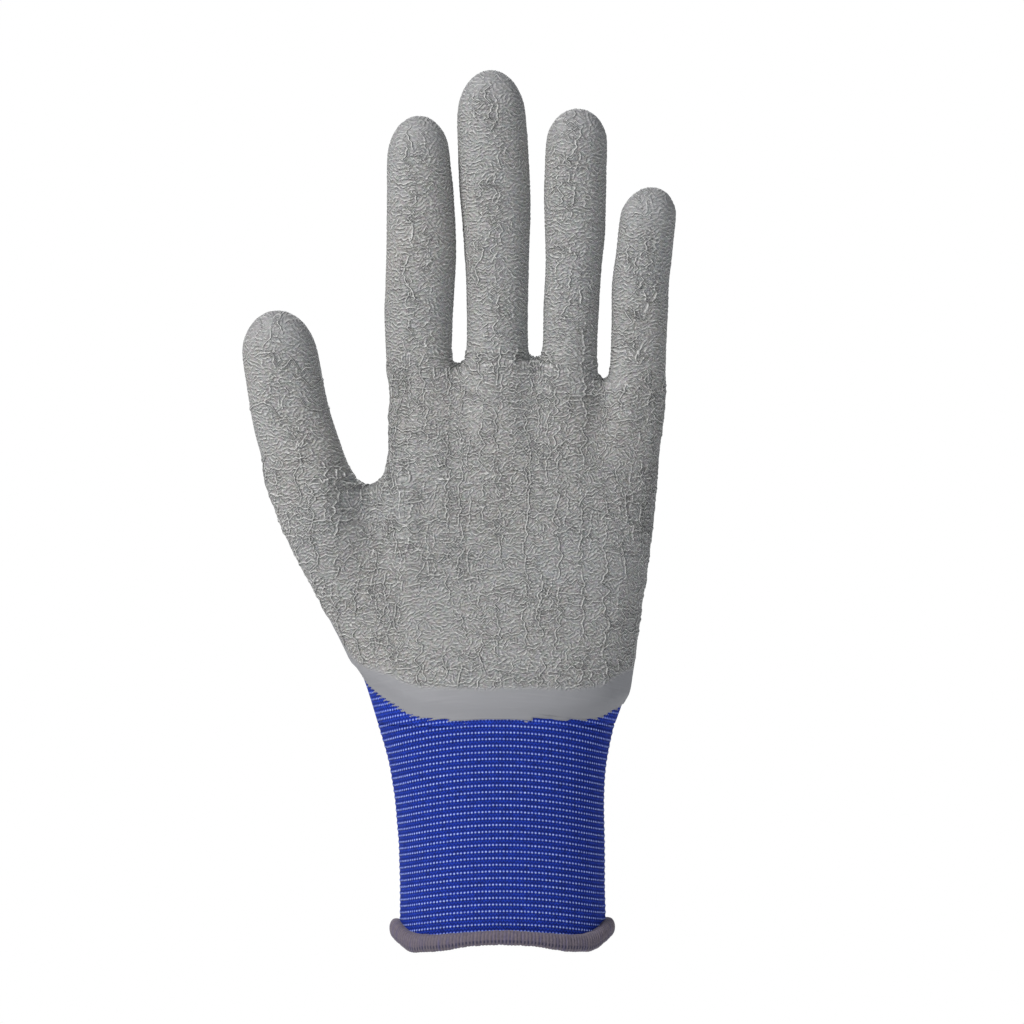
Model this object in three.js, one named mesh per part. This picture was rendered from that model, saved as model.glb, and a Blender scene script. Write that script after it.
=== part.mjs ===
// A left-hand knitted work glove whose palm side is dipped in crinkled latex.
// X runs from the thumb to the little finger, -Y is the palm side and +Z points up the fingers.
// The origin is the middle of the cuff's mouth, where the wrist goes in. Sizes are in millimetres.
import * as THREE from "three";

// Walls of the two layers, and the clearances between pieces
const KNIT_WALL = 1.0;
const COAT_WALL = 0.8;
const LAYER_GAP = 0.3;
const SEAM_GAP = 0.3;
const SKIN = COAT_WALL + LAYER_GAP;

// Cuff, measured over the knit
const CUFF_WIDTH = 58.8;
const CUFF_DEPTH = 43.0;
const CUFF_LENGTH = 59.0;
const WRIST_WIDTH = 67.7;
const WRIST_DEPTH = 41.0;
const WRIST_SHIFT = -1.6;

// Overlocked hem round the mouth of the cuff. It hangs lowest at its corners, and curls up at its sides.
const HEM_HEIGHT = 4.6;
const HEM_THICK = 3.4;
const HEM_FLARE = 1.1;
const HEM_MIDDLE_RISE = 1.6;
const HEM_SIDE_RISE = 4.4;
const HEM_CORNER = 0.72;

// Hand, measured over the coat
const THUMB_REACH = 55.1;
const KNUCKLE_SHIFT = 6.8;
const PALM_DEPTH = 31.0;
const ROOT_DEPTH = 20.5;
const THUMB_FORWARD = 7.0;
const PALM_HOLLOW = 1.6;
// Half the breadth of that hollow, as a share of the palm's half-width, and the heights over which the
// cuff's depth and the hollow run out into the palm, as shares of the way to the thumb's crotch
const HOLLOW_SPREAD = 0.45;
const DEPTH_RISE = 0.5;
const HOLLOW_RISE = 0.6;
// The palm draws in below the index finger, and is back at full width over the last share of its height
const INDEX_WAIST = 1.4;
const WAIST_END = 0.2;
const LITTLE_TAPER = 0.19;
const WEB_DROP = 2.4;
const WEB_REACH = 4.5;
const WEB_FADE = 13.0;
const WEB_PINCH = 0.5;
const FINGER_WEB_RADIUS = 3.4;
const THUMB_WEB_RADIUS = 8.0;
const PALM_WEB_RADIUS = 11.5;
// Height over which a root runs out into its finger, as a multiple of the web's radius
const ROOT_BLEND = 2.6;
const WEB_FOCUS = 8;
// Height of a finger's first loop, as a share of the web's radius
const FIRST_RISE = 0.3;

// Lower edge of the dip, as heights from the wrist line, at its middle and its two sides
const DIP_MIDDLE = 1.2;
const DIP_THUMB_SIDE = 11.0;
const DIP_LITTLE_SIDE = 6.5;
const DIP_POWER = 2.2;
// How much of each fingertip the dip covers all round
const DIP_TIP = 17.0;

// Largest width and depth of the middle finger, its length from crotch to tip, the height of its web above
// the wrist line, and the space at the index finger's web
const FINGER_WIDTH = 20.4;
const FINGER_DEPTH = 17.8;
const FINGER_LENGTH = 82.3;
const CROTCH_HEIGHT = 104.8;
const WEB_GAP = 4.7;

// Fingers from the thumb side, as shares of those five sizes. crotch and gap are at the web on the little
// finger's side. lean and bend carry the tip to +X and towards the palm side, as shares of length, and dome
// is the height of the rounded tip as a share of width. In sections, at is a share of length, wide of
// width, and side is a sideways shift as a share of width.
const FINGERS = [
  {
    name: "thumb",
    width: 1.176,
    depth: 1.096,
    length: 0.612,
    crotch: 0.653,
    gap: 2.043,
    lean: -0.163,
    bend: 0.159,
    dome: 0.56,
    sections: [
      { at: 0.0, wide: 0.985, side: 0.0 },
      { at: 0.13, wide: 1.0, side: 0.0 },
      { at: 0.36, wide: 0.95, side: -0.05 },
      { at: 0.6, wide: 0.89, side: -0.075 },
      { at: 0.78, wide: 0.885, side: -0.065 },
      { at: 1.0, wide: 0.87, side: -0.01 },
    ],
  },
  {
    name: "index",
    width: 0.961,
    depth: 0.966,
    length: 0.869,
    crotch: 0.983,
    gap: 1.000,
    lean: 0.004,
    bend: 0.098,
    dome: 0.65,
    sections: [
      { at: 0.0, wide: 0.94, side: 0.0 },
      { at: 0.24, wide: 0.985, side: 0.005 },
      { at: 0.5, wide: 1.0, side: 0.045 },
      { at: 0.66, wide: 0.97, side: 0.03 },
      { at: 0.8, wide: 0.9, side: 0.0 },
      { at: 1.0, wide: 0.9, side: 0.0 },
    ],
  },
  {
    name: "middle",
    width: 1.000,
    depth: 1.000,
    length: 1.000,
    crotch: 1.000,
    gap: 0.936,
    lean: -0.022,
    bend: 0.097,
    dome: 0.67,
    sections: [
      { at: 0.0, wide: 0.85, side: 0.0 },
      { at: 0.1, wide: 0.835, side: 0.005 },
      { at: 0.24, wide: 0.845, side: 0.025 },
      { at: 0.4, wide: 0.9, side: 0.03 },
      { at: 0.52, wide: 0.955, side: 0.025 },
      { at: 0.65, wide: 0.985, side: 0.015 },
      { at: 0.8, wide: 0.945, side: -0.005 },
      { at: 1.0, wide: 0.93, side: 0.0 },
    ],
  },
  {
    name: "ring",
    width: 0.868,
    depth: 0.910,
    length: 0.894,
    crotch: 0.941,
    gap: 0.872,
    lean: 0.030,
    bend: 0.109,
    dome: 0.55,
    sections: [
      { at: 0.0, wide: 0.85, side: 0.0 },
      { at: 0.22, wide: 0.87, side: 0.0 },
      { at: 0.42, wide: 0.885, side: 0.02 },
      { at: 0.56, wide: 0.965, side: 0.025 },
      { at: 0.7, wide: 0.985, side: 0.0 },
      { at: 0.84, wide: 0.965, side: 0.01 },
      { at: 1.0, wide: 0.95, side: 0.0 },
    ],
  },
  {
    name: "little",
    width: 0.804,
    depth: 0.831,
    length: 0.673,
    crotch: 0.922,
    gap: 0.000,
    lean: 0.069,
    bend: 0.117,
    dome: 0.54,
    sections: [
      { at: 0.0, wide: 0.97, side: 0.0 },
      { at: 0.17, wide: 0.95, side: -0.03 },
      { at: 0.3, wide: 0.94, side: -0.04 },
      { at: 0.48, wide: 0.985, side: -0.075 },
      { at: 0.6, wide: 0.955, side: -0.07 },
      { at: 0.72, wide: 0.945, side: -0.04 },
      { at: 0.88, wide: 0.95, side: -0.03 },
      { at: 1.0, wide: 0.93, side: 0.0 },
    ],
  },
];

// Hand between the wrist line and the thumb's crotch. up is a share of the crotch's height, thumb_side and
// little_side are shares of the way each edge goes outwards, deep is a share of the palm's depth
const HAND_SECTIONS = [
  { up: 0.0, thumb_side: 0.0, little_side: 0.0, deep: 1.0 },
  { up: 0.08, thumb_side: 0.04, little_side: 0.2, deep: 1.06 },
  { up: 0.2, thumb_side: 0.148, little_side: 0.35, deep: 1.07 },
  { up: 0.36, thumb_side: 0.315, little_side: 0.49, deep: 1.04 },
  { up: 0.52, thumb_side: 0.512, little_side: 0.64, deep: 1.02 },
  { up: 0.68, thumb_side: 0.705, little_side: 0.79, deep: 1.0 },
  { up: 0.84, thumb_side: 0.877, little_side: 0.9, deep: 0.98 },
  { up: 1.0, thumb_side: 1.0, little_side: 1.0, deep: 0.94 },
];

// Palm between the thumb's crotch and the finger roots, up being a share of that height
const PALM_ROWS = [0.05, 0.13, 0.28, 0.46, 0.64, 0.82, 1.0];
const CUFF_ROWS = 5;
const FINGER_STEP = 9.0;
const DOME_RINGS = [0.0, 0.4, 0.66, 0.84, 0.95];

// Roundness of the sections: 2 is an ellipse, and more is squarer
const WRIST_ROUND = 2.1;
const PALM_ROUND = 2.5;
const FINGER_ROUND = 2.2;
const BEND_POWER = 1.6;
const FLARE_POWER = 2.7;
const FLARE_START = 0.35;

// A finger's loop has twelve points, and a loop round n fingers has eight for each and four for the sides.
// Of the twelve, the first is on the little finger's side, and the rest follow round the back of the hand.
const LOOP = 12;
const BY_RIGHT_WEB = 1;
const BY_LEFT_WEB = 5;
const HEM_SIDES = 8;
const PER_FINGER = 8;
const SIDE_POINTS = 4;

for (const f of FINGERS) {
  f.width *= FINGER_WIDTH;
  f.depth *= FINGER_DEPTH;
  f.length *= FINGER_LENGTH;
  f.crotch *= CROTCH_HEIGHT;
  f.gap *= WEB_GAP;
}

const WRIST_Z = HEM_HEIGHT + CUFF_LENGTH;
const [THUMB, ...PALM_FINGERS] = FINGERS;
const THUMB_CROTCH_Z = WRIST_Z + THUMB.crotch;

const lerp = (a, b, t) => a + (b - a) * t;
const clamp = (t) => Math.min(1, Math.max(0, t));
const ease = (t) => clamp(t) * clamp(t) * (3 - 2 * clamp(t));

// Value of one column of a table at a place between its rows
function between(rows, key, at, column) {
  const next = rows.findIndex((row) => row[key] >= at);
  if (next <= 0) {
    return rows[next < 0 ? rows.length - 1 : 0][column];
  }
  const low = rows[next - 1];
  const high = rows[next];
  return lerp(low[column], high[column], (at - low[key]) / (high[key] - low[key]));
}

// Half-depth of a rounded section of half-width and half-depth 1, at a share of its half-width
function rounded(share, roundness) {
  return (1 - clamp(Math.abs(share)) ** roundness) ** (1 / roundness);
}

// Places the roots of the four fingers side by side, and the thumb's root out at its reach
function placeRoots() {
  const rootWidth = (f) => f.width * f.sections[0].wide;
  const row = PALM_FINGERS.reduce((sum, f) => sum + rootWidth(f) + f.gap, 0);
  let edge = KNUCKLE_SHIFT - row / 2;
  for (const f of PALM_FINGERS) {
    f.x = edge + rootWidth(f) / 2;
    edge += rootWidth(f) + f.gap;
  }
  THUMB.x = -THUMB_REACH;
  for (const f of FINGERS) {
    f.half = rootWidth(f) / 2;
  }
  FINGERS.forEach((f, i) => {
    const after = FINGERS[i + 1];
    f.webX = after ? (f.x + f.half + after.x - after.half) / 2 : f.x + f.half;
    f.highSide = WRIST_Z + f.crotch;
    f.lowSide = i > 1 ? WRIST_Z + FINGERS[i - 1].crotch : f.highSide - WEB_DROP;
  });
}
placeRoots();

const INDEX = PALM_FINGERS[0];
const LITTLE = PALM_FINGERS[PALM_FINGERS.length - 1];
const PALM_LEFT = INDEX.x - INDEX.half;
const PALM_RIGHT = LITTLE.x + LITTLE.half;
const THUMB_LEFT = THUMB.x - THUMB.half;
const HAND_POINTS = PER_FINGER * FINGERS.length + SIDE_POINTS;
const CROTCH_RIGHT = lerp(PALM_RIGHT, WRIST_SHIFT + WRIST_WIDTH / 2, LITTLE_TAPER);

// Hollows in front and behind where two fingers part, as a factor on the depth
function webFactor(x, z) {
  let factor = 1;
  for (const f of FINGERS.slice(0, -1)) {
    const across = (x - f.webX) / WEB_REACH;
    const below = Math.max(0, f.highSide - z) / WEB_FADE;
    const above = Math.max(0, z - f.highSide) / WEB_REACH;
    factor -= WEB_PINCH * Math.exp(-across * across - below - above);
  }
  return factor;
}

// How far the thumb's side of the hand stands forward of the palm
function middleY(x, z) {
  const rise = ease((z - WRIST_Z) / (THUMB_CROTCH_Z - WRIST_Z));
  const out = ease((PALM_LEFT - x) / (PALM_LEFT - THUMB.x));
  return -THUMB_FORWARD * rise * out;
}

for (const f of FINGERS) {
  f.y = middleY(f.x, THUMB_CROTCH_Z);
}

// Which finger, and which of its twelve points, a place in a loop round several fingers belongs to
function columnOf(place, fingers) {
  const half = (PER_FINGER * fingers.length + SIDE_POINTS) / 2;
  const back = place <= half;
  const steps = back ? place : 2 * half - place;
  const last = fingers.length - 1;
  const fromRight = Math.min(last, Math.floor(Math.max(0, steps - 1) / 4));
  const k = steps === 0 ? 0 : steps - 4 * fromRight;
  return { finger: fingers[last - fromRight], k, back };
}

// Where each column of a loop stands across the roots
function rootX(place, fingers) {
  const { finger, k } = columnOf(place, fingers);
  const at = fingers.indexOf(finger);
  if (k === BY_LEFT_WEB && at > 0) {
    return fingers[at - 1].webX;
  }
  if (k === BY_RIGHT_WEB && at < fingers.length - 1) {
    return finger.webX;
  }
  return finger.x + finger.half * Math.cos((k * 2 * Math.PI) / LOOP);
}

// A point of the hand's outer surface, from the edges and depth of its level
function onSection(level, across, back) {
  const x = lerp(level.left, level.right, (across + 1) / 2);
  const hollow = back ? 0 : level.hollow * Math.exp(-((across / HOLLOW_SPREAD) ** 2));
  const depth = (level.depth / 2) * rounded(across, level.roundness) * webFactor(x, level.z) - hollow;
  return new THREE.Vector3(x, middleY(x, level.z) + (back ? depth : -depth), level.z);
}

// Edges, depth and roundness of the hand at a height between the wrist line and the thumb's crotch
function handLevel(z) {
  const up = (z - WRIST_Z) / (THUMB_CROTCH_Z - WRIST_Z);
  const wristHalf = WRIST_WIDTH / 2 + SKIN;
  const inside = clamp(up);
  const palmDepth = PALM_DEPTH * between(HAND_SECTIONS, "up", inside, "deep");
  return {
    z,
    left: lerp(WRIST_SHIFT - wristHalf, THUMB_LEFT, between(HAND_SECTIONS, "up", inside, "thumb_side")),
    right: lerp(WRIST_SHIFT + wristHalf, CROTCH_RIGHT, between(HAND_SECTIONS, "up", inside, "little_side")),
    depth: lerp(WRIST_DEPTH + 2 * SKIN, palmDepth, ease(up / DEPTH_RISE)),
    roundness: lerp(WRIST_ROUND, PALM_ROUND, ease(up)),
    hollow: PALM_HOLLOW * ease(up / HOLLOW_RISE),
  };
}

// How far the hem stands above its lowest, at a share of the cuff's half-width. Past the corner it climbs
// round the side in a curl that steepens towards the edge.
function hemRise(across) {
  const out = Math.abs(across);
  if (out > HEM_CORNER) {
    const inwards = (1 - out) / (1 - HEM_CORNER);
    const turn = 1 - inwards * inwards;
    return HEM_SIDE_RISE * (1 - Math.sqrt(1 - turn * turn));
  }
  return HEM_MIDDLE_RISE * ease(1 - out / HEM_CORNER);
}

// Edges, depth and roundness of the cuff at a height, which flares over its upper part to meet the hand
function cuffLevel(z) {
  const share = clamp((z - HEM_HEIGHT) / CUFF_LENGTH);
  const flared = clamp((share - FLARE_START) / (1 - FLARE_START));
  const half = lerp(CUFF_WIDTH, WRIST_WIDTH, flared ** FLARE_POWER) / 2 + SKIN;
  const shift = WRIST_SHIFT * ease(flared);
  return {
    z,
    left: shift - half,
    right: shift + half,
    depth: lerp(CUFF_DEPTH, WRIST_DEPTH, share) + 2 * SKIN,
    roundness: WRIST_ROUND,
    hollow: 0,
  };
}

// Where the columns of the loop round all five fingers stand at the thumb's crotch, from -1 to 1
function crotchAcross(place) {
  const x = rootX(place, FINGERS);
  const fromWeb = (x - THUMB.webX) / (PALM_RIGHT - THUMB.webX);
  const placed = x > THUMB.webX ? lerp(THUMB.webX, CROTCH_RIGHT, fromWeb) : x;
  return (2 * (placed - THUMB_LEFT)) / (CROTCH_RIGHT - THUMB_LEFT) - 1;
}

// Height of the dip's lower edge, from the middle (0) to the thumb's side (-1) and the little finger's (1)
function dipEdge(across) {
  const side = across < 0 ? DIP_THUMB_SIDE : DIP_LITTLE_SIDE;
  return WRIST_Z + lerp(DIP_MIDDLE, side, Math.abs(across) ** DIP_POWER);
}

// The places of a loop round the whole hand that lie behind and in front of the thumb's web
const THUMB_WEB_PLACES = [HAND_POINTS / 2 - BY_LEFT_WEB, HAND_POINTS / 2 + BY_LEFT_WEB];

// A loop of points round the whole hand, at a share of the way from lowest(across) to the thumb's crotch
function handLoop(share, lowest) {
  return Array.from({ length: HAND_POINTS }, (_, place) => {
    const back = place <= HAND_POINTS / 2;
    const angle = (place * 2 * Math.PI) / HAND_POINTS;
    const webbed = THUMB_WEB_PLACES.includes(place) ? 1 : 0;
    const start = lowest(Math.cos(angle));
    const z = lerp(start, THUMB_CROTCH_Z - webbed * WEB_DROP, share);
    const level = z < WRIST_Z ? cuffLevel(z) : handLevel(z);
    const rise = ease((z - WRIST_Z) / (THUMB_CROTCH_Z - WRIST_Z));
    return onSection(level, lerp(Math.cos(angle), crotchAcross(place), rise), back);
  });
}

// Height of a finger's root at one of its twelve points, which drops in front and behind each web
function rootZ(finger, k) {
  const across = Math.cos((k * 2 * Math.PI) / LOOP);
  const drop = k % (LOOP / 2) === 0 ? 0 : WEB_DROP;
  return lerp(finger.lowSide, finger.highSide, (across + 1) / 2) - drop;
}

// How much of the way to the middle of a web a side still stands, at a rise above the web
function webCurl(rise, radius) {
  const left = 1 - clamp(rise / radius);
  return 1 - Math.sqrt(1 - left * left);
}

// One point of the palm's own section, between the thumb's crotch and the four roots
function palmPoint(place, share) {
  const { finger, k, back } = columnOf(place, PALM_FINGERS);
  const across = (2 * (rootX(place, PALM_FINGERS) - PALM_LEFT)) / (PALM_RIGHT - PALM_LEFT) - 1;
  const level = {
    z: lerp(THUMB_CROTCH_Z, rootZ(finger, k), share),
    left: PALM_LEFT + INDEX_WAIST * ease((1 - share) / WAIST_END),
    right: PALM_RIGHT,
    depth: lerp(PALM_DEPTH * HAND_SECTIONS.at(-1).deep, ROOT_DEPTH, ease(share)),
    roundness: PALM_ROUND,
    hollow: PALM_HOLLOW * (1 - ease(share)),
  };
  return { across, point: onSection(level, across, back) };
}

// A loop round the palm, which starts from the points at the thumb's crotch. The thumb's side rounds out of
// the web, and the rest runs out slowly.
function palmLoop(share, root) {
  const quick = webCurl(share * (INDEX.highSide - THUMB_CROTCH_Z), PALM_WEB_RADIUS);
  const slow = 1 - ease(share);
  return root.map((shared, place) => {
    const { across, point } = palmPoint(place, share);
    const curl = lerp(slow, quick, clamp(-across) ** WEB_FOCUS);
    return point.addScaledVector(shared.clone().sub(palmPoint(place, 0).point), curl);
  });
}

// One of the twelve points of a finger's own section
function fingerPoint(finger, k, rise) {
  const share = rise / finger.length;
  const dome = finger.dome * finger.width;
  const intoDome = clamp((rise - finger.length + dome) / dome);
  const scale = Math.sqrt(1 - intoDome * intoDome);
  const wide = between(finger.sections, "at", share, "wide");
  const side = between(finger.sections, "at", share, "side");
  const angle = (k * 2 * Math.PI) / LOOP;
  const across = Math.cos(angle);
  const deep = Math.sign(Math.sin(angle)) * rounded(across, FINGER_ROUND);
  return new THREE.Vector3(
    finger.x + finger.lean * rise + finger.width * (side + (wide / 2) * scale * across),
    finger.y - finger.bend * finger.length * share ** BEND_POWER + (finger.depth / 2) * scale * deep,
    lerp(rootZ(finger, k), (finger.lowSide + finger.highSide) / 2, clamp(rise / dome)) + rise,
  );
}

// A loop of a finger above its root, which starts from the points it shares with the palm. A side with a
// web rounds out of it at the web's radius, and the other sides run out slowly.
function fingerLoop(finger, rise, root) {
  const radius = finger === THUMB ? THUMB_WEB_RADIUS : FINGER_WEB_RADIUS;
  const quick = webCurl(rise, radius);
  const slow = 1 - ease(rise / (ROOT_BLEND * radius));
  return root.map((shared, k) => {
    const own = fingerPoint(finger, k, rise);
    const atRoot = fingerPoint(finger, k, 0);
    const across = Math.cos((k * 2 * Math.PI) / LOOP);
    const webbed = across > 0 ? finger !== LITTLE : finger !== THUMB && finger !== INDEX;
    const curl = webbed ? lerp(slow, quick, across * across) : slow;
    return own.addScaledVector(shared.clone().sub(atRoot), curl);
  });
}

// The outer surface as points and faces, each face carrying the piece and zone that it belongs to
class Skin {
  constructor() {
    this.points = [];
    this.faces = [];
  }

  addLoop(points) {
    return points.map((p) => this.points.push(p) - 1);
  }

  // Joins two loops of equal length with quads that face outwards
  bridge(low, high, piece, coated = () => true) {
    low.forEach((a, i) => {
      const b = low[(i + 1) % low.length];
      const c = high[(i + 1) % low.length];
      const d = high[i];
      this.faces.push({ corners: [a, b, c, d], piece, coated: coated(i) });
    });
  }

  closeTip(loop, tip, piece) {
    const pole = this.points.push(tip) - 1;
    loop.forEach((a, i) => {
      this.faces.push({ corners: [a, loop[(i + 1) % loop.length], pole], piece, coated: true });
    });
  }

  // Unit normal of each point, from the faces round it
  normals() {
    const sums = this.points.map(() => new THREE.Vector3());
    for (const { corners } of this.faces) {
      const [a, b, c, d] = corners.map((i) => this.points[i]);
      const across = new THREE.Vector3().subVectors(c, a);
      const other = new THREE.Vector3().subVectors(d ?? c, d ? b : a);
      const normal = d ? across.cross(other) : new THREE.Vector3().subVectors(b, a).cross(other);
      for (const i of corners) {
        sums[i].add(normal);
      }
    }
    return sums.map((n) => n.normalize());
  }
}

// Twelve points of a finger's root, out of a loop round several fingers and the middles of its webs
function rootLoop(loop, fingers, finger, webs) {
  const n = fingers.length;
  const fromRight = n - 1 - fingers.indexOf(finger);
  const backStart = 4 * fromRight;
  const frontStart = 4 * n + 3 + 4 * (n - 1 - fromRight);
  const before = fingers[fingers.indexOf(finger) - 1];
  const right = fromRight === 0 ? loop[0] : webs.get(finger);
  const left = before ? webs.get(before) : loop[4 * n + 2];
  return [
    right,
    ...loop.slice(backStart + 1, backStart + 6),
    left,
    ...loop.slice(frontStart, frontStart + 5),
  ];
}

// Heights above a finger's root at which its loops lie, with a narrow seam where the stall joins the palm
function fingerRises(finger) {
  const radius = finger === THUMB ? THUMB_WEB_RADIUS : FINGER_WEB_RADIUS;
  const dome = finger.dome * finger.width;
  const straight = finger.length - dome - radius;
  const count = Math.max(2, Math.round(straight / FINGER_STEP));
  const rises = [FIRST_RISE * radius, radius, radius + SEAM_GAP];
  for (let i = 1; i < count; i += 1) {
    rises.push(radius + (straight * i) / count);
  }
  return [...rises, ...DOME_RINGS.map((s) => finger.length - dome * (1 - s))];
}

// Lays one finger's loops on its root and closes its tip
function addFinger(skin, finger, root) {
  const shared = root.map((i) => skin.points[i]);
  let below = root;
  fingerRises(finger).forEach((rise, i) => {
    const loop = skin.addLoop(fingerLoop(finger, rise, shared));
    const covered = rise > finger.length - DIP_TIP;
    const piece = ["palm", "palm", "seam"][i] ?? finger.name;
    skin.bridge(below, loop, piece, (k) => covered || k < BY_RIGHT_WEB || k >= BY_LEFT_WEB);
    below = loop;
  });
  const tip = fingerPoint(finger, 0, finger.length);
  skin.closeTip(below, tip, finger.name);
}

// The middle point of the web on a finger's little-finger side, which stands above the points round it
function webMiddle(finger) {
  return new THREE.Vector3(finger.webX, middleY(finger.webX, finger.highSide), finger.highSide);
}

// The whole outer surface of the hand, from a level loop at the wrist up to the fingertips
function makeSkin() {
  const skin = new Skin();
  const coatedAt = (loop) => (k) => k < 1 || k >= loop.length / 2 - 1;
  let below = skin.addLoop(handLoop(0, () => WRIST_Z));
  HAND_SECTIONS.forEach(({ up }, row) => {
    const loop = skin.addLoop(handLoop(up, dipEdge));
    skin.bridge(below, loop, "palm", (k) => row > 0 && coatedAt(loop)(k));
    below = loop;
  });
  const webs = new Map([[THUMB, skin.addLoop([webMiddle(THUMB)])[0]]]);
  addFinger(skin, THUMB, rootLoop(below, FINGERS, THUMB, webs));

  // The loop round the palm keeps the hand's points on the four fingers' side, and takes in the web
  const kept = (PER_FINGER / 2) * PALM_FINGERS.length + 2;
  below = [...below.slice(0, kept), webs.get(THUMB), ...below.slice(1 - kept)];
  const palmRoot = below.map((i) => skin.points[i]);
  for (const up of PALM_ROWS) {
    const loop = skin.addLoop(palmLoop(up, palmRoot));
    skin.bridge(below, loop, "palm", coatedAt(loop));
    below = loop;
  }
  for (const f of PALM_FINGERS.slice(0, -1)) {
    webs.set(f, skin.addLoop([webMiddle(f)])[0]);
  }
  for (const f of PALM_FINGERS) {
    addFinger(skin, f, rootLoop(below, PALM_FINGERS, f, webs));
  }
  return skin;
}

// The cuff's outer surface, from the hem to the wrist line
function makeCuffSkin() {
  const skin = new Skin();
  let below = null;
  for (let row = 0; row <= CUFF_ROWS; row += 1) {
    const points = Array.from({ length: HAND_POINTS }, (_, place) => {
      const across = Math.cos((place * 2 * Math.PI) / HAND_POINTS);
      const bottom = hemRise(across) + HEM_HEIGHT + SEAM_GAP;
      const z = lerp(bottom, WRIST_Z - SEAM_GAP, row / CUFF_ROWS);
      return onSection(cuffLevel(z), across, place <= HAND_POINTS / 2);
    });
    const loop = skin.addLoop(points);
    if (below) {
      skin.bridge(below, loop, "cuff");
    }
    below = loop;
  }
  return skin;
}

// A closed wall between two depths under the skin, over the faces that are kept
function wall(skin, keep, outer, inner) {
  const normals = skin.normals();
  const faces = skin.faces.filter(keep).map((face) => face.corners);
  const count = skin.points.length;
  const at = (depth) => skin.points.map((p, i) => p.clone().addScaledVector(normals[i], -depth));
  const points = [...at(outer), ...at(inner)];
  const open = new Map();
  for (const face of faces) {
    face.forEach((a, i) => {
      const b = face[(i + 1) % face.length];
      if (!open.delete(`${b},${a}`)) {
        open.set(`${a},${b}`, [a, b]);
      }
    });
  }
  const rim = [...open.values()].map(([a, b]) => [b, a, a + count, b + count]);
  const underside = faces.map(([a, ...rest]) => [a, ...rest.reverse()].map((i) => i + count));
  return geometryOf(points, [...faces, ...rim, ...underside]);
}

// An indexed geometry of polygons with three or four corners
function geometryOf(points, faces) {
  const used = new Map();
  const positions = [];
  const place = (i) => {
    if (!used.has(i)) {
      used.set(i, used.size);
      positions.push(...points[i].toArray());
    }
    return used.get(i);
  };
  const index = [];
  for (const face of faces) {
    const [a, b, c, d] = face.map(place);
    index.push(a, b, c);
    if (face.length === 4) {
      index.push(a, c, d);
    }
  }
  const geometry = new THREE.BufferGeometry();
  geometry.setAttribute("position", new THREE.Float32BufferAttribute(positions, 3));
  geometry.setIndex(index);
  geometry.computeVertexNormals();
  return geometry;
}

// The hem is one rounded roll that follows the cuff's edge
function hemGeometry() {
  const turns = HEM_SIDES;
  const points = [];
  const faces = [];
  for (let place = 0; place < HAND_POINTS; place += 1) {
    const angle = (place * 2 * Math.PI) / HAND_POINTS;
    const edge = onSection(cuffLevel(HEM_HEIGHT), Math.cos(angle), place <= HAND_POINTS / 2);
    const outward = new THREE.Vector3(
      Math.cos(angle) / CUFF_WIDTH,
      Math.sin(angle) / CUFF_DEPTH,
      0,
    ).normalize();
    const middle = hemRise(Math.cos(angle)) + HEM_HEIGHT / 2;
    for (let turn = 0; turn < turns; turn += 1) {
      const round = ((turn + 0.5) * 2 * Math.PI) / turns;
      const out = HEM_FLARE - SKIN + (HEM_THICK / 2) * Math.cos(round);
      const z = middle + ((HEM_HEIGHT / 2) * Math.sin(round)) / Math.cos(Math.PI / turns);
      points.push(edge.clone().setZ(z).addScaledVector(outward, out));
    }
  }
  for (let place = 0; place < HAND_POINTS; place += 1) {
    for (let turn = 0; turn < turns; turn += 1) {
      const a = place * turns + turn;
      const b = place * turns + ((turn + 1) % turns);
      const next = ((place + 1) % HAND_POINTS) * turns - place * turns;
      faces.push([a, a + next, b + next, b]);
    }
  }
  return geometryOf(points, faces);
}

const KNIT = { color: 0x2440b4, roughness: 0.85, metalness: 0 };
const CUFF_KNIT = { color: 0x2f4fd0, roughness: 0.8, metalness: 0 };
const LATEX = { color: 0x9c9c99, roughness: 0.6, metalness: 0 };
const OVERLOCK = { color: 0x7c767c, roughness: 0.9, metalness: 0 };

function piece(name, geometry, finish) {
  const mesh = new THREE.Mesh(geometry, new THREE.MeshStandardMaterial(finish));
  mesh.name = name;
  return mesh;
}

const hand = makeSkin();
const knitOuter = SKIN;
const knitInner = SKIN + KNIT_WALL;

const glove = new THREE.Group();
for (const f of FINGERS) {
  const stall = wall(hand, (face) => face.piece === f.name, knitOuter, knitInner);
  glove.add(piece(`${f.name}_stall`, stall, KNIT));
}
glove.add(piece("palm_liner", wall(hand, (face) => face.piece === "palm", knitOuter, knitInner), KNIT));
glove.add(piece("cuff", wall(makeCuffSkin(), () => true, knitOuter, knitInner), CUFF_KNIT));
glove.add(piece("cuff_hem", hemGeometry(), OVERLOCK));
glove.add(piece("latex_coat", wall(hand, (face) => face.coated, 0, COAT_WALL), LATEX));

export default glove;
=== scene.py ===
# %% [markdown]
# # A latex coated grip glove
# The real glove is a seamless knit that a machine makes in one go, pulled over a hand-shaped former and
# dipped palm first into liquid latex. A solvent then swells the skin of the wet latex, and it crinkles.
# model.glb holds the solid pieces at their real size, in metres. Every surface here is grown from them.

import math
from functools import partial

import bmesh
import bpy
import numpy as np
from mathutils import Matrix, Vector
from mathutils.bvhtree import BVHTree
from mathutils.kdtree import KDTree


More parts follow.
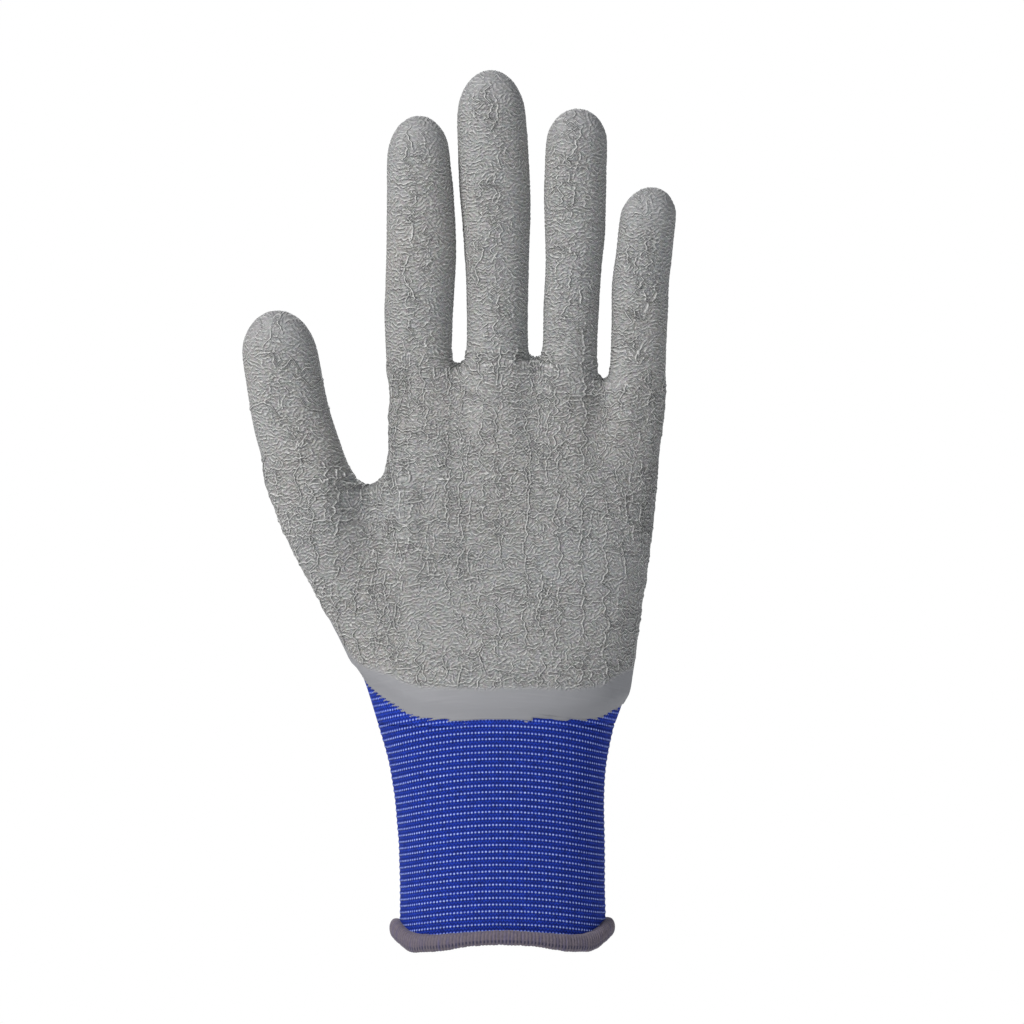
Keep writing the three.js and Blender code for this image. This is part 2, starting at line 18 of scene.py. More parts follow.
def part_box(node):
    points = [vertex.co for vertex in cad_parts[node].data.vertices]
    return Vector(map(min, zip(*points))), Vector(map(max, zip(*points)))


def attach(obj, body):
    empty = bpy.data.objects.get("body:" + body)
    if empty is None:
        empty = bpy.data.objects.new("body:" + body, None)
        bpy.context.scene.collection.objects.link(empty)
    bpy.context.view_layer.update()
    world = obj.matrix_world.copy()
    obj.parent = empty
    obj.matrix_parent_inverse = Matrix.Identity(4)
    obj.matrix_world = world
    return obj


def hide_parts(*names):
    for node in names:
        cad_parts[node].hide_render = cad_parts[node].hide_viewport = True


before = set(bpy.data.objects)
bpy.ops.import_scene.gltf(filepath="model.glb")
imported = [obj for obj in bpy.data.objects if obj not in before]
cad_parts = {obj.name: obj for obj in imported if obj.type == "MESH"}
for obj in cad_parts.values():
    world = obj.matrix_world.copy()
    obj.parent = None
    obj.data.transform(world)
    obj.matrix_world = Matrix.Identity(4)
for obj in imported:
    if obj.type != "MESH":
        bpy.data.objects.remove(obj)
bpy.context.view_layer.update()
scene = bpy.context.scene
MM = 0.001
random = np.random.default_rng(7)

# %% [markdown]
# ## Camera
# The photograph looks straight at the palm from far away, so the outline has next to no perspective. A long
# lens does the same. Its distance follows from the height that the picture shows: the glove is 250 mm tall
# and fills 86 percent of the frame.

# %% Camera
VIEW_HEIGHT = 290.6 * MM
VIEW_CENTRE = Vector((2.84, 0.0, 124.3)) * MM
LENS = 200.0
SENSOR = 36.0

camera_data = bpy.data.cameras.new("camera")
camera_data.lens = LENS
camera_data.sensor_width = SENSOR
camera = bpy.data.objects.new("camera", camera_data)
scene.collection.objects.link(camera)
distance = VIEW_HEIGHT * LENS / SENSOR
PALM_FRONT = 12.0 * MM
camera.location = VIEW_CENTRE + Vector((0.0, -distance - PALM_FRONT, 0.0))
camera.rotation_euler = (math.radians(90.0), 0.0, 0.0)
camera_data.clip_start = 0.05
camera_data.clip_end = 20.0
scene.camera = camera
print("camera stands", round(distance, 2), "m away")

# %% [markdown]
# ## Colours and nodes
# Colours are easiest to read as the hex values of a picture, but a shader works with linear light. One
# function turns the first into the second. Another adds a shader node with its settings and its links, so
# that a material reads from top to bottom like a recipe.


# %% Colours and nodes
def linear(hex_colour):
    """An sRGB hex colour as the linear RGBA that sockets want."""
    parts = [int(hex_colour[i : i + 2], 16) / 255 for i in (1, 3, 5)]
    return [p / 12.92 if p <= 0.04045 else ((p + 0.055) / 1.055) ** 2.4 for p in parts] + [1.0]


def add(owner, kind, *inputs, **named):
    """Adds a node to a material or to the world. A second word in kind is the node's operation. Inputs are
    values or nodes, in the order of the sockets, or named in0, in1 and so on, or by a socket's own name,
    which has a capital. Every other name is a setting of the node."""
    kind, _, operation = kind.partition(" ")
    made = owner.node_tree.nodes.new("ShaderNode" + kind)
    if operation:
        made.operation = operation
    sockets = dict(enumerate(inputs))
    for name, value in named.items():
        if name[0].isupper():
            sockets[name.replace("_", " ")] = value
        elif name[:2] == "in" and name[2:].isdigit():
            sockets[int(name[2:])] = value
        else:
            setattr(made, name, value)
    for key, value in sockets.items():
        if isinstance(value, bpy.types.Node):
            value = next(output for output in value.outputs if output.enabled)
        if isinstance(value, bpy.types.NodeSocket):
            owner.node_tree.links.new(value, made.inputs[key])
        else:
            made.inputs[key].default_value = value
    return made


def new_material(name):
    """A node material that is still empty."""
    material = bpy.data.materials.new(name)
    material.use_nodes = True
    material.node_tree.nodes.clear()
    return material


print("linear value of a mid grey:", round(linear("#959594")[0], 3))

# %% [markdown]
# ## Floor and light
# A product picture wants an even white ground and soft light. The light here is a large lamp up on the
# left, as the bright left sides of the fingers show, a weaker one on the right, one behind for the back of
# the hand, and a dim pale world. Seen directly the world is white, as an overexposed backdrop would be.


# %% Floor and light
def stage_floor(side, height, colour):
    """A plain pale floor, which isn't part of the glove."""
    mesh = bpy.data.meshes.new("floor")
    half = side / 2
    corners = [(-half, -half, 0), (half, -half, 0), (half, half, 0), (-half, half, 0)]
    mesh.from_pydata(corners, [], [(0, 1, 2, 3)])
    sheet = bpy.data.objects.new("floor", mesh)
    sheet.location = (0.0, 0.0, height)
    scene.collection.objects.link(sheet)
    paint = new_material("floor_painted")
    add(paint, "OutputMaterial", add(paint, "BsdfPrincipled", Base_Color=linear(colour), Roughness=0.9))
    mesh.materials.append(paint)


def area_lamp(name, place, target, size, watts, colour):
    """A square soft light that faces a point."""
    data = bpy.data.lights.new(name, "AREA")
    data.shape = "SQUARE"
    data.size = size
    data.energy = watts
    data.color = linear(colour)[:3]
    lamp = bpy.data.objects.new(name, data)
    lamp.location = place
    lamp.rotation_euler = (Vector(target) - Vector(place)).to_track_quat("-Z", "Y").to_euler()
    scene.collection.objects.link(lamp)
    return lamp


stage_floor(side=1.8, height=-110.0 * MM, colour="#f4f4f4")
HAND_MIDDLE = (0.0, 0.0, 0.13)
LAMPS = {  # place and side in metres, watts and colour
    "key": ((-0.8, -0.7, 0.85), 0.35, 15.5, "#fffdfb"),
    "fill": ((0.9, -1.1, 0.25), 1.0, 3.6, "#fbfdff"),
    "back": ((0.0, 1.4, 0.7), 0.8, 9.0, "#fdfeff"),
}
for name, (place, side, watts, colour) in LAMPS.items():
    area_lamp(name, place, HAND_MIDDLE, side, watts, colour)

WORLD_LIGHT = 0.3
world = bpy.data.worlds.new("studio")
world.use_nodes = True
world.node_tree.nodes.clear()
scene.world = world
soft = add(world, "Background", linear("#f2f4f8"), WORLD_LIGHT)
white = add(world, "Background", linear("#ffffff"))
seen = add(world, "LightPath").outputs["Is Camera Ray"]
add(world, "OutputWorld", add(world, "MixShader", seen, soft, white))
scene.view_settings.view_transform = "Standard"

# %% [markdown]
# ## The outer sheet of a hollow solid
# Each CAD wall is a closed shell: an outer sheet, an inner sheet and a narrow rim that joins them. The rim
# meets both at a right angle, so a flood fill that doesn't cross sharp edges finds the sheets, and the
# outer one has the larger area. Joined and welded, the sheets of the five stalls and the palm make one
# seamless hand again. Pairs of triangles become quads, because quads subdivide evenly.


# %% Outer sheets
WELD_GAP = 0.01 * MM
SHARP_EDGE = math.radians(72.0)


def welded(name):
    """A CAD node as a bmesh, with its doubled points welded."""
    part = bmesh.new()
    part.from_mesh(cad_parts[name].data)
    bmesh.ops.remove_doubles(part, verts=part.verts, dist=WELD_GAP)
    return part


def outer_sheet(name):
    """The outer sheet of one hollow node, as a bmesh."""
    part = welded(name)
    left = set(part.faces)
    sheets = []
    while left:
        front = [left.pop()]
        sheet = set(front)
        while front:
            for edge in front.pop().edges:
                if len(edge.link_faces) == 2 and edge.calc_face_angle() < SHARP_EDGE:
                    found = left.intersection(edge.link_faces)
                    left -= found
                    sheet |= found
                    front.extend(found)
        sheets.append(sheet)
    outer = max(sheets, key=lambda faces: sum(face.calc_area() for face in faces))
    bmesh.ops.delete(part, geom=[f for f in part.faces if f not in outer], context="FACES")
    return part


def rim_points(sheet):
    """The points on a sheet's open edges."""
    return [v for v in sheet.verts if v.is_boundary]


def point_tree(places):
    """A search tree that finds the nearest of many places."""
    tree = KDTree(len(places))
    for number, place in enumerate(places):
        tree.insert(place, number)
    tree.balance()
    return tree


def join_sheets(body, parts, reach):
    """Joins sheets to the body's own, with each point of their rims drawn to the nearest of its rims."""
    joined = bmesh.new()
    for name in [body, *parts]:
        part = outer_sheet(name)
        flat = bpy.data.meshes.new("part")
        part.to_mesh(flat)
        part.free()
        joined.from_mesh(flat)
        bpy.data.meshes.remove(flat)
        if name == body:
            own = rim_points(joined)
    tree = point_tree([point.co for point in own])
    kept = set(own)
    pairs = {}
    for point in rim_points(joined):
        if point not in kept:
            _, nearest, gap = tree.find(point.co)
            if gap < reach:
                pairs[point] = own[nearest]
    bmesh.ops.weld_verts(joined, targetmap=pairs)
    bmesh.ops.recalc_face_normals(joined, faces=joined.faces)
    bmesh.ops.join_triangles(
        joined,
        faces=joined.faces,
        angle_face_threshold=math.radians(80.0),
        angle_shape_threshold=math.radians(120.0),
    )
    return joined


STALLS = ["thumb_stall", "index_stall", "middle_stall", "ring_stall", "little_stall"]
HAND_NODES = [*STALLS, "palm_liner"]
SEAM_REACH = 1.2 * MM
hand = join_sheets("palm_liner", STALLS, SEAM_REACH)
print("hand sheet:", len(hand.verts), "points,", len(hand.faces), "faces, of which quads",
      sum(len(f.verts) == 4 for f in hand.faces))
print("open edges:", sum(len(e.link_faces) == 1 for e in hand.edges),
      "torn edges:", sum(len(e.link_faces) > 2 for e in hand.edges))

# %% [markdown]
# ## A smooth hand
# Catmull-Clark subdivision rounds the facets off, but it also shrinks a shape. So the cage is first blown up
# by what each of its points loses, a few times over, until the smooth hand passes through the CAD points.


# %% Smooth hand
def subdivided(points, faces, levels):
    """Catmull-Clark points and quads. The cage's own points come first and keep their order."""
    mesh = bpy.data.meshes.new("cage")
    mesh.from_pydata(points.tolist(), [], faces)
    holder = bpy.data.objects.new("cage", mesh)
    scene.collection.objects.link(holder)
    modifier = holder.modifiers.new("smooth", "SUBSURF")
    modifier.levels = levels
    made = bpy.data.meshes.new_from_object(holder.evaluated_get(bpy.context.evaluated_depsgraph_get()))
    flat = np.empty(len(made.vertices) * 3)
    made.vertices.foreach_get("co", flat)
    corners = np.empty(len(made.loops), np.int32)
    made.loops.foreach_get("vertex_index", corners)
    bpy.data.objects.remove(holder)
    bpy.data.meshes.remove(mesh)
    bpy.data.meshes.remove(made)
    return flat.reshape(-1, 3), corners.reshape(-1, 4).astype(np.int64)


SMOOTH_LEVELS = 2
CAGE_ROUNDS = 8
hand.verts.ensure_lookup_table()
targets = np.array([v.co for v in hand.verts])
hand_faces = [[v.index for v in f.verts] for f in hand.faces]
hand.free()
cage = targets.copy()
for _ in range(CAGE_ROUNDS):
    smooth_points, smooth_quads = subdivided(cage, hand_faces, SMOOTH_LEVELS)
    missed = targets - smooth_points[: len(targets)]
    cage += missed
print("smooth hand:", len(smooth_points), "points, furthest from the CAD points by",
      round(float(np.linalg.norm(missed, axis=1).max()) / MM, 3), "mm")

# %% [markdown]
# ## Even quads of any size
# Crinkles and knit need a fine, even mesh. Every edge of a quad mesh has an opposite edge, that one has
# another, and so on in a ring. All edges of a ring get the same number of steps, from a mean length that
# favours the long ones, so each quad turns into a small grid that fits its neighbours. Values kept at the
# points are carried along.


# %% Finer grid
def edge_table(quads):
    """The edges of a quad mesh, and for each quad the numbers of its four edges."""
    sides = np.stack([quads, np.roll(quads, -1, axis=1)], axis=-1)
    edges, which = np.unique(np.sort(sides.reshape(-1, 2), axis=1), axis=0, return_inverse=True)
    return edges, which.reshape(-1, 4)


def edge_rings(which, count):
    """A label for each edge that it shares with the edges across its quads."""
    ring = np.arange(count)
    pairs = np.concatenate([which[:, [0, 2]], which[:, [1, 3]]])
    while True:
        low = np.minimum(ring[pairs[:, 0]], ring[pairs[:, 1]])
        old = ring.copy()
        np.minimum.at(ring, pairs[:, 0], low)
        np.minimum.at(ring, pairs[:, 1], low)
        ring = ring[ring]
        if (ring == old).all():
            return ring


def refined(values, quads, spacing):
    """Splits quads evenly. values holds a row for each point, with its place in the first three columns.
    Gives the new rows, the new quads, and which old quad each comes from."""
    edges, which = edge_table(quads)
    ring = edge_rings(which, len(edges))
    length = np.linalg.norm(values[edges[:, 0], :3] - values[edges[:, 1], :3], axis=1)
    cubes, squares = (np.bincount(ring, length**power, len(edges)) for power in (3, 2))
    mean = cubes / np.maximum(squares, 1e-20)
    steps = np.maximum(np.rint(mean[ring] / spacing).astype(int), 1)
    rows = [values]
    for edge_steps in np.unique(steps):
        if edge_steps > 1:
            chosen = edges[steps == edge_steps]
            share = (np.arange(1, edge_steps) / edge_steps)[None, :, None]
            placed = (1 - share) * values[chosen[:, :1]] + share * values[chosen[:, 1:]]
            rows.append(placed.reshape(-1, values.shape[1]))
    # edges with the same number of steps were stored together, so their first places follow that order
    order = np.argsort(steps, kind="stable")
    first_of = np.empty(len(edges), int)
    first_of[order] = len(values) + np.concatenate([[0], np.cumsum((steps - 1)[order])[:-1]])
    used = len(values) + int((steps - 1).sum())
    new_quads, parents = [], []
    across, along = steps[which[:, 0]], steps[which[:, 1]]
    for a, b in np.unique(np.stack([across, along], axis=1), axis=0):
        mine = np.flatnonzero((across == a) & (along == b))
        grid = np.empty((len(mine), a + 1, b + 1), int)
        corners = quads[mine]
        grid[:, 0, 0], grid[:, a, 0], grid[:, a, b], grid[:, 0, b] = corners.T
        for side, (start, end, count) in enumerate(
            [((0, 0), (a, 0), a), ((a, 0), (a, b), b), ((0, b), (a, b), a), ((0, 0), (0, b), b)]
        ):
            if count < 2:
                continue
            edge = which[mine, side]
            forward = edges[edge, 0] == grid[:, start[0], start[1]]
            k = np.arange(1, count)
            place = np.where(forward[:, None], k - 1, count - 1 - k) + first_of[edge][:, None]
            if start[0] != end[0]:
                grid[:, 1:a, start[1]] = place
            else:
                grid[:, start[0], 1:b] = place
        if a > 1 and b > 1:
            inside = (a - 1) * (b - 1)
            grid[:, 1:a, 1:b] = (used + np.arange(len(mine) * inside)).reshape(len(mine), a - 1, b - 1)
            s = (np.arange(1, a) / a)[None, :, None, None]
            t = (np.arange(1, b) / b)[None, None, :, None]
            p0, p1, p2, p3 = (values[corners[:, i]][:, None, None, :] for i in range(4))
            filled = (1 - s) * (1 - t) * p0 + s * (1 - t) * p1 + s * t * p2 + (1 - s) * t * p3
            rows.append(filled.reshape(-1, values.shape[1]))
            used += len(mine) * inside
        cells = np.stack([grid[:, :-1, :-1], grid[:, 1:, :-1], grid[:, 1:, 1:], grid[:, :-1, 1:]], axis=-1)
        new_quads.append(cells.reshape(-1, 4))
        parents.append(np.repeat(mine, a * b))
    return np.concatenate(rows), np.concatenate(new_quads), np.concatenate(parents)


def neighbour_table(quads, count, width=5):
    """Up to five neighbours of each point, the rest of a row being the point itself."""
    edges, _ = edge_table(quads)
    start = np.concatenate([edges[:, 0], edges[:, 1]])
    end = np.concatenate([edges[:, 1], edges[:, 0]])
    order = np.argsort(start, kind="stable")
    start, end = start[order], end[order]
    rank = np.arange(len(start)) - np.searchsorted(start, start)
    table = np.repeat(np.arange(count)[:, None], width, axis=1)
    kept = rank < width
    table[start[kept], rank[kept]] = end[kept]
    return table


def vertex_normals(points, quads):
    """Unit normals of the points, from the diagonals of the quads round them."""
    face = np.cross(points[quads[:, 2]] - points[quads[:, 0]], points[quads[:, 3]] - points[quads[:, 1]])
    total = np.stack(
        [np.bincount(quads.ravel(), np.repeat(face[:, i], 4), len(points)) for i in range(3)], axis=1
    )
    return total / np.maximum(np.linalg.norm(total, axis=1, keepdims=True), 1e-20)


def smoothed(field, table, rounds, share=1.0):
    """A field averaged with its neighbours' values, some rounds over."""
    for _ in range(rounds):
        field = field + share * (field[table].mean(axis=1) - field)
    return field


print("a point's table holds", neighbour_table(smooth_quads, len(smooth_points)).shape[1], "neighbours")

# %% [markdown]
# ## Where the hand's parts lie
# The wrinkles and the knit follow the fingers, so each point is told which part it belongs to, where the
# middle of that part runs at its height, and how far round the part it lies. The middles are measured on
# the CAD nodes themselves, in slices.


# %% Middles of the parts
TIP_LEFT_OUT = 4.0 * MM
SLICE_OVERLAP = 3.0 * MM


def node_points(name):
    """The points of a CAD node."""
    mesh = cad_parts[name].data
    flat = np.empty(len(mesh.vertices) * 3)
    mesh.vertices.foreach_get("co", flat)
    return flat.reshape(-1, 3)


def middle_line(name, slices=10):
    """Heights, and there the left and right edge, the middle and half of the depth of a node."""
    points = node_points(name)
    low, high = points[:, 2].min(), points[:, 2].max()
    cuts = np.linspace(low, high - TIP_LEFT_OUT, slices + 1)
    rows = []
    for bottom, top in zip(cuts[:-1], cuts[1:]):
        here = points[(points[:, 2] >= bottom - SLICE_OVERLAP) & (points[:, 2] <= top + SLICE_OVERLAP)]
        left, right = here[:, 0].min(), here[:, 0].max()
        front, back = here[:, 1].min(), here[:, 1].max()
        rows.append([(bottom + top) / 2, left, right, (front + back) / 2, (back - front) / 2])
    return np.array(rows).T


lines = {name: middle_line(name) for name in [*HAND_NODES, "cuff"]}
lines["sleeve"] = np.concatenate([lines["cuff"], lines["palm_liner"]], axis=1)
print("half the depth of the palm in mm:", np.round(lines["palm_liner"][4] / MM, 1))

# %% [markdown]
# Each point of the smooth hand belongs to the CAD node whose faces lie nearest to it.


# %% Parts of the points
def node_tree(name):
    """A search tree over the faces of a CAD node."""
    solid = bmesh.new()
    solid.from_mesh(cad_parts[name].data)
    tree = BVHTree.FromBMesh(solid)
    solid.free()
    return tree


part_trees = [node_tree(name) for name in HAND_NODES]
gaps = np.array([[tree.find_nearest(Vector(p))[3] for tree in part_trees] for p in smooth_points])
part_of = gaps.argmin(axis=1)
PALM = len(STALLS)
root_z = [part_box(name)[0].z for name in STALLS]
print("points in each part:", dict(zip(HAND_NODES, np.bincount(part_of).tolist())))

# %% [markdown]
# ## The hand laid flat
# Patterns need a place round each part in millimetres, as on a sleeve laid flat. In front it is the plain
# distance from the part's middle, and at the sides the length of the arc is added. The back mirrors the
# front, so no seam shows anywhere.


# %% Round the parts
def round_middle(points, name, straighten=False):
    """Signed distance of points round a part, from the middle of its front or its back to its sides, as on a
    sleeve laid flat. A part that leans can be straightened, as if it stood upright on its own root."""
    heights, left, right, depth, half_depth = lines[name]
    z = points[:, 2]
    middle = np.interp(z, heights, (left + right) / 2)
    half = np.interp(z, heights, (right - left) / 2)
    deep = np.interp(z, heights, half_depth)
    across = (points[:, 0] - middle) / half
    back = (points[:, 1] - np.interp(z, heights, depth)) / deep
    size = np.maximum(np.hypot(across, back), 1e-9)
    cosine = abs(back) / size
    # the sine's fifth power summed up adds the arc at the sides and leaves the front as wide as it looks
    arc = 8 / 15 - cosine + 2 / 3 * cosine**3 - cosine**5 / 5
    lean = middle - (left[0] + right[0]) / 2 if straighten else 0.0
    return points[:, 0] - lean + np.sign(across) * deep * size * arc


print("half of the flat palm in mm:", round(float(round_middle(smooth_points, "palm_liner").max()) / MM, 1))

# %% [markdown]
# The CAD's gaps at the finger roots leave a slight step in the smooth hand. It is blurred away there and
# nowhere else. Beside the root of the index finger the palm's edge is then drawn straight.

# %% Smooth roots
SEAM_ROUNDS = 12
smooth_table = neighbour_table(smooth_quads, len(smooth_points))
seam = (part_of[smooth_table] != part_of[:, None]).any(axis=1).astype(float)
seam = np.minimum(3 * smoothed(seam, smooth_table, 6), 1)[:, None]
for _ in range(SEAM_ROUNDS):
    smooth_points += 0.5 * seam * (smooth_points[smooth_table].mean(axis=1) - smooth_points)

# height, reach and shift in mm
EDGE_SHIFTS = ((165.0, 3.5, 0.3), (151.0, 6.0, -0.45))
edge_z = smooth_points[:, 2] / MM
straighter = sum(shift * np.exp(-(((edge_z - z) / reach) ** 2)) for z, reach, shift in EDGE_SHIFTS)
at_left = np.clip((-smooth_points[:, 0] / MM - 22.0) / 6.0, 0, 1) * (part_of != 0)
smooth_points[:, 0] += straighter * at_left * MM
print("points near the seams:", int((seam > 0).sum()))

# %% [markdown]
# Up a finger the place is counted from the finger's own middle. The change from the palm's count to the
# finger's is spread over 14 mm, so that the creases run on from one to the other.

# %% Places on the flat hand
ROOT_RUN = 14.0 * MM
palm_round = round_middle(smooth_points, "palm_liner")
around = palm_round.copy()
for i, name in enumerate(STALLS):
    mine = part_of == i
    own = round_middle(smooth_points[mine], name, straighten=True)
    share = np.clip((smooth_points[mine, 2] - root_z[i]) / ROOT_RUN, 0, 1)
    around[mine] = palm_round[mine] + share * (own - palm_round[mine])
print("unrolled width in mm", np.round(np.ptp(around) / MM, 1))

# %% [markdown]
# ## How far the dip reaches
# The hand goes into the latex palm first, so the coat covers the front and the sides and wraps the tips. The
# CAD coat says where it ends. Points near it are covered, and the distance to the nearest uncovered point
# then tells how deep inside the coat a point lies, which is negative outside it.


# %% Reach of the dip
coat_tree = node_tree("latex_coat")
COVER_GAP = 1.2 * MM
off_coat = np.array([coat_tree.find_nearest(Vector(p))[3] for p in smooth_points])
covered = smoothed((off_coat < COVER_GAP).astype(float), smooth_table, 3) > 0.5
smooth_edges, _ = edge_table(smooth_quads)
crossing = smooth_edges[covered[smooth_edges[:, 0]] != covered[smooth_edges[:, 1]]]
brink = smooth_points[crossing].mean(axis=1)
brink_tree = point_tree(brink)
inside = np.array([brink_tree.find(p)[2] for p in smooth_points])
inside = np.where(covered, inside, -inside)
inside = smoothed(inside, smooth_table, 6)
print("covered points:", int(covered.sum()), "deepest inside the coat:", round(inside.max() / MM, 1), "mm")

# %% [markdown]
# ## Noise
# Random folds that stay the same in every run come from lattice noise: a random value at each corner of a
# grid of cells, blended in between. Straight blending leaves kinks, and a line that such a noise pushes to
# and fro zigzags as the creases of stiff latex do.


# %% Noise
def noise(points, seed, kinked=False):
    """Lattice noise from -1 to 1, at points measured in cells."""
    cell = np.floor(points).astype(np.int64)
    part = points - cell
    share = part if kinked else part * part * (3 - 2 * part)
    total = np.zeros(len(points))
    for corner in np.ndindex(2, 2, 2):
        at = cell + corner
        mixed = (at[:, 0] * 73856093) ^ (at[:, 1] * 19349663) ^ (at[:, 2] * 83492791) ^ (seed * 15485863)
        mixed = ((mixed ^ (mixed >> 13)) * 1274126177) & 0x7FFFFFFF
        value = ((mixed ^ (mixed >> 16)) & 0xFFFF) / 32767.5 - 1
        total += value * np.prod(np.where(np.array(corner) == 1, share, 1 - share), axis=1)
    return total


def flat_noise(x, y, seed, kinked=False):
    """The same noise on a plane, or along a line where y is one number."""
    return noise(np.stack([x, y + 0 * x, 0 * x], axis=1), seed, kinked)


def ease(share):
    """A share from 0 to 1 that starts and ends softly."""
    share = np.clip(share, 0, 1)
    return share * share * (3 - 2 * share)


def trimmed(rows, quads):
    """Leaves out the rows that no quad uses."""
    used, flat = np.unique(quads, return_inverse=True)
    return rows[used], flat.reshape(-1, 4)


print("noise spread:", round(float(noise(random.uniform(0, 50, (2000, 3)), 1).std()), 2))

# %% [markdown]
# ## The coat's fine mesh
# The coat's face lies 1.35 mm outside the knit. Its mesh is fine enough to carry ridges 1 mm apart as real
# geometry. At its edges the film thins out and sinks into the knit, and at the cuff it ends in small steps,
# one course of the knit at a time.

# %% Fine mesh of the coat
COAT_GRID = 0.33 * MM
NEAR_COAT = 2.0 * MM

near_coat = inside[smooth_quads].max(axis=1) > -NEAR_COAT
rows, quads = trimmed(np.column_stack([smooth_points, around, inside]), smooth_quads[near_coat])
owner = part_of[smooth_quads[near_coat]].max(axis=1)
rows, quads, parents = refined(rows, quads, COAT_GRID)
coat_part = owner[parents]
table = neighbour_table(quads, len(rows))
points = smoothed(rows[:, :3], table, 4, 0.6)
coat_around, coat_inside = rows[:, 3], rows[:, 4]
normals = vertex_normals(points, quads)
print("fine coat:", len(points), "points,", len(quads), "quads")

# %% [markdown]
# ## Courses of the knit
# A knit is laid out in rows of loops, called courses, here 0.91 mm tall, and in columns of loops, called
# wales, here 1 mm wide. The courses of the cuff aren't level. The middle of the hand pulls them up, so they
# arch by 5 mm at the wrist line and by 3 mm near the hem. The arch runs on into the palm and dies out there.


# %% Courses
WALE = 1.0 * MM
COURSE = 0.91 * MM
WRIST_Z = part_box("cuff")[1].z + 0.15 * MM
ARCH_WRIST = 4.8 * MM
ARCH_HEM = 3.2 * MM


def knit_uv(z, across, wales):
    """Wales and courses, for places at a height and at a share of the half-width."""
    arch = ARCH_HEM + (ARCH_WRIST - ARCH_HEM) * np.clip(z / WRIST_Z, 0, 1)
    arch = arch * (1 - ease((z - WRIST_Z - 20 * MM) / (30 * MM)))
    return np.column_stack([wales, (z - arch * (1 - across**2)) / COURSE])


def across_of(points, name):
    """Share of the half-width at which points lie on a part, from -1 to 1."""
    heights, left, right = lines[name][:3]
    middle = np.interp(points[:, 2], heights, (left + right) / 2)
    half = np.interp(points[:, 2], heights, (right - left) / 2)
    return np.clip((points[:, 0] - middle) / half, -1, 1)

# %% [markdown]
# ## The lower edge of the dip
# The edge is measured as a height for each place round the hand, from the points where the cover changes,
# and then fitted to the real dip by a millimetre or two. The crinkles stop 7 to 12 mm above it, where the
# latex ran thin and drained smooth.

# %% Lower edge and smooth band
SLOT = 2.5 * MM
SIDE_Y = 4.0 * MM
EDGE_BELOW = 95.0 * MM
EDGE_ELSEWHERE = 90.0 * MM
# the real dip's lower line hangs a little less in the middle and more at the right than the CAD coat's
RAISED_AT = (-50, -39, -33, -29, -22, -13, -1, 9.6, 18.7, 26, 33, 50)
RAISED_BY = (0.8, 0.8, 0.3, -0.2, 0.1, 1.2, 2.0, 1.6, -0.2, -1.1, -1.8, -1.8)
BAND_AT = (-40, -30, -15, 0, 19, 30, 34)
BAND_HEIGHT = (7.2, 8.3, 9.0, 9.0, 9.3, 10.4, 12.0)

slots = np.linspace(-20 * SLOT, 20 * SLOT, 41)
brink_round = around[crossing].mean(axis=1)
front_brink = (brink[:, 1] < SIDE_Y) & (brink[:, 2] < EDGE_BELOW)
low_edge = []
for slot in slots:
    here = front_brink & (abs(brink_round - slot) < SLOT)
    low_edge.append(brink[here, 2].mean() if here.any() else EDGE_ELSEWHERE)
low_edge = np.array(low_edge) + np.interp(slots / MM, RAISED_AT, RAISED_BY) * MM
rise = points[:, 2] - np.interp(coat_around, slots, low_edge)
above_band = rise - np.interp(coat_around / MM, BAND_AT, BAND_HEIGHT) * MM
crinkled = ease((above_band + 1.5 * MM) / (2.5 * MM)) * ease((coat_inside - 0.8 * MM) / (2.5 * MM))
print("the dip's lower edge in mm:", np.round(low_edge[::4] / MM, 1))

# %% [markdown]
# ## Creases
# On the palm the stronger creases make a rough brickwork: upright ones some 6 mm apart, and between them
# lying ones 4 mm apart, with finer ones of both kinds where the latex is busiest. Down the front of each
# finger, where it bends, runs a band of creases that zigzag like lightning. Each crease is a numbered line
# with its own kinks, and each point finds the nearest one.


# %% Creases
def kinks(along, knots, line, seed):
    """A kinked wave along each numbered line."""
    return flat_noise(along / knots, line, seed, kinked=True)


def creases(across, along, spacing, knots, swing, seed, column=0.0):
    """The signed distance to the nearest of many zigzag lines, its strength there and its number."""
    base = np.rint(across / spacing)
    best = np.full(len(across), 99.0)
    chosen = np.zeros(len(across))
    for step in (-1, 0, 1):
        line = base + step + 37.0 * column
        place = spacing * (base + step + 0.3 * kinks(0 * along, 1.0, line, seed))
        wide, small = kinks(along, knots, line, seed + 1), kinks(along, 0.45 * knots, line, seed + 2)
        place += swing * wide + 0.4 * swing * small
        nearer = abs(across - place) < abs(best)
        best = np.where(nearer, across - place, best)
        chosen = np.where(nearer, line, chosen)
    strength = ease(0.6 + 1.4 * kinks(along, 2.6 * knots, chosen, seed + 3))
    return best, strength, chosen


sample = kinks(np.linspace(0.0, 40.0, 400), 1.0, 0.0, 31)
print("a crease strays by these shares of its swing:", np.round([sample.min(), sample.max()], 2))

# %% [markdown]
# Two fields steer the creases: how far a point belongs to a finger, and how busy the latex is there. It is
# busier in patches some 11 mm wide, and towards the fingers.

# %% Fields that steer the creases
FINGER_BLEND = 40
PATCH = 11.0
BUSY_FROM, BUSY_RUN = 112.0, 22.0
mm = points / MM
unrolled = coat_around / MM
point_part = np.full(len(points), PALM)
point_part[quads.ravel()] = np.repeat(coat_part, 4)
on_finger = smoothed((point_part < PALM).astype(float), table, FINGER_BLEND)
patch = noise(mm / PATCH, 51)
near_fingers = ease((mm[:, 2] - BUSY_FROM) / BUSY_RUN)
busy = ease(0.45 + 1.1 * patch + 0.4 * near_fingers)
print("points on fingers:", int((point_part < PALM).sum()))

# %% [markdown]
# On the palm, the lying creases start anew in each column between two upright ones, as the joints of
# brickwork do. A second, finer pair of families lies over the first.

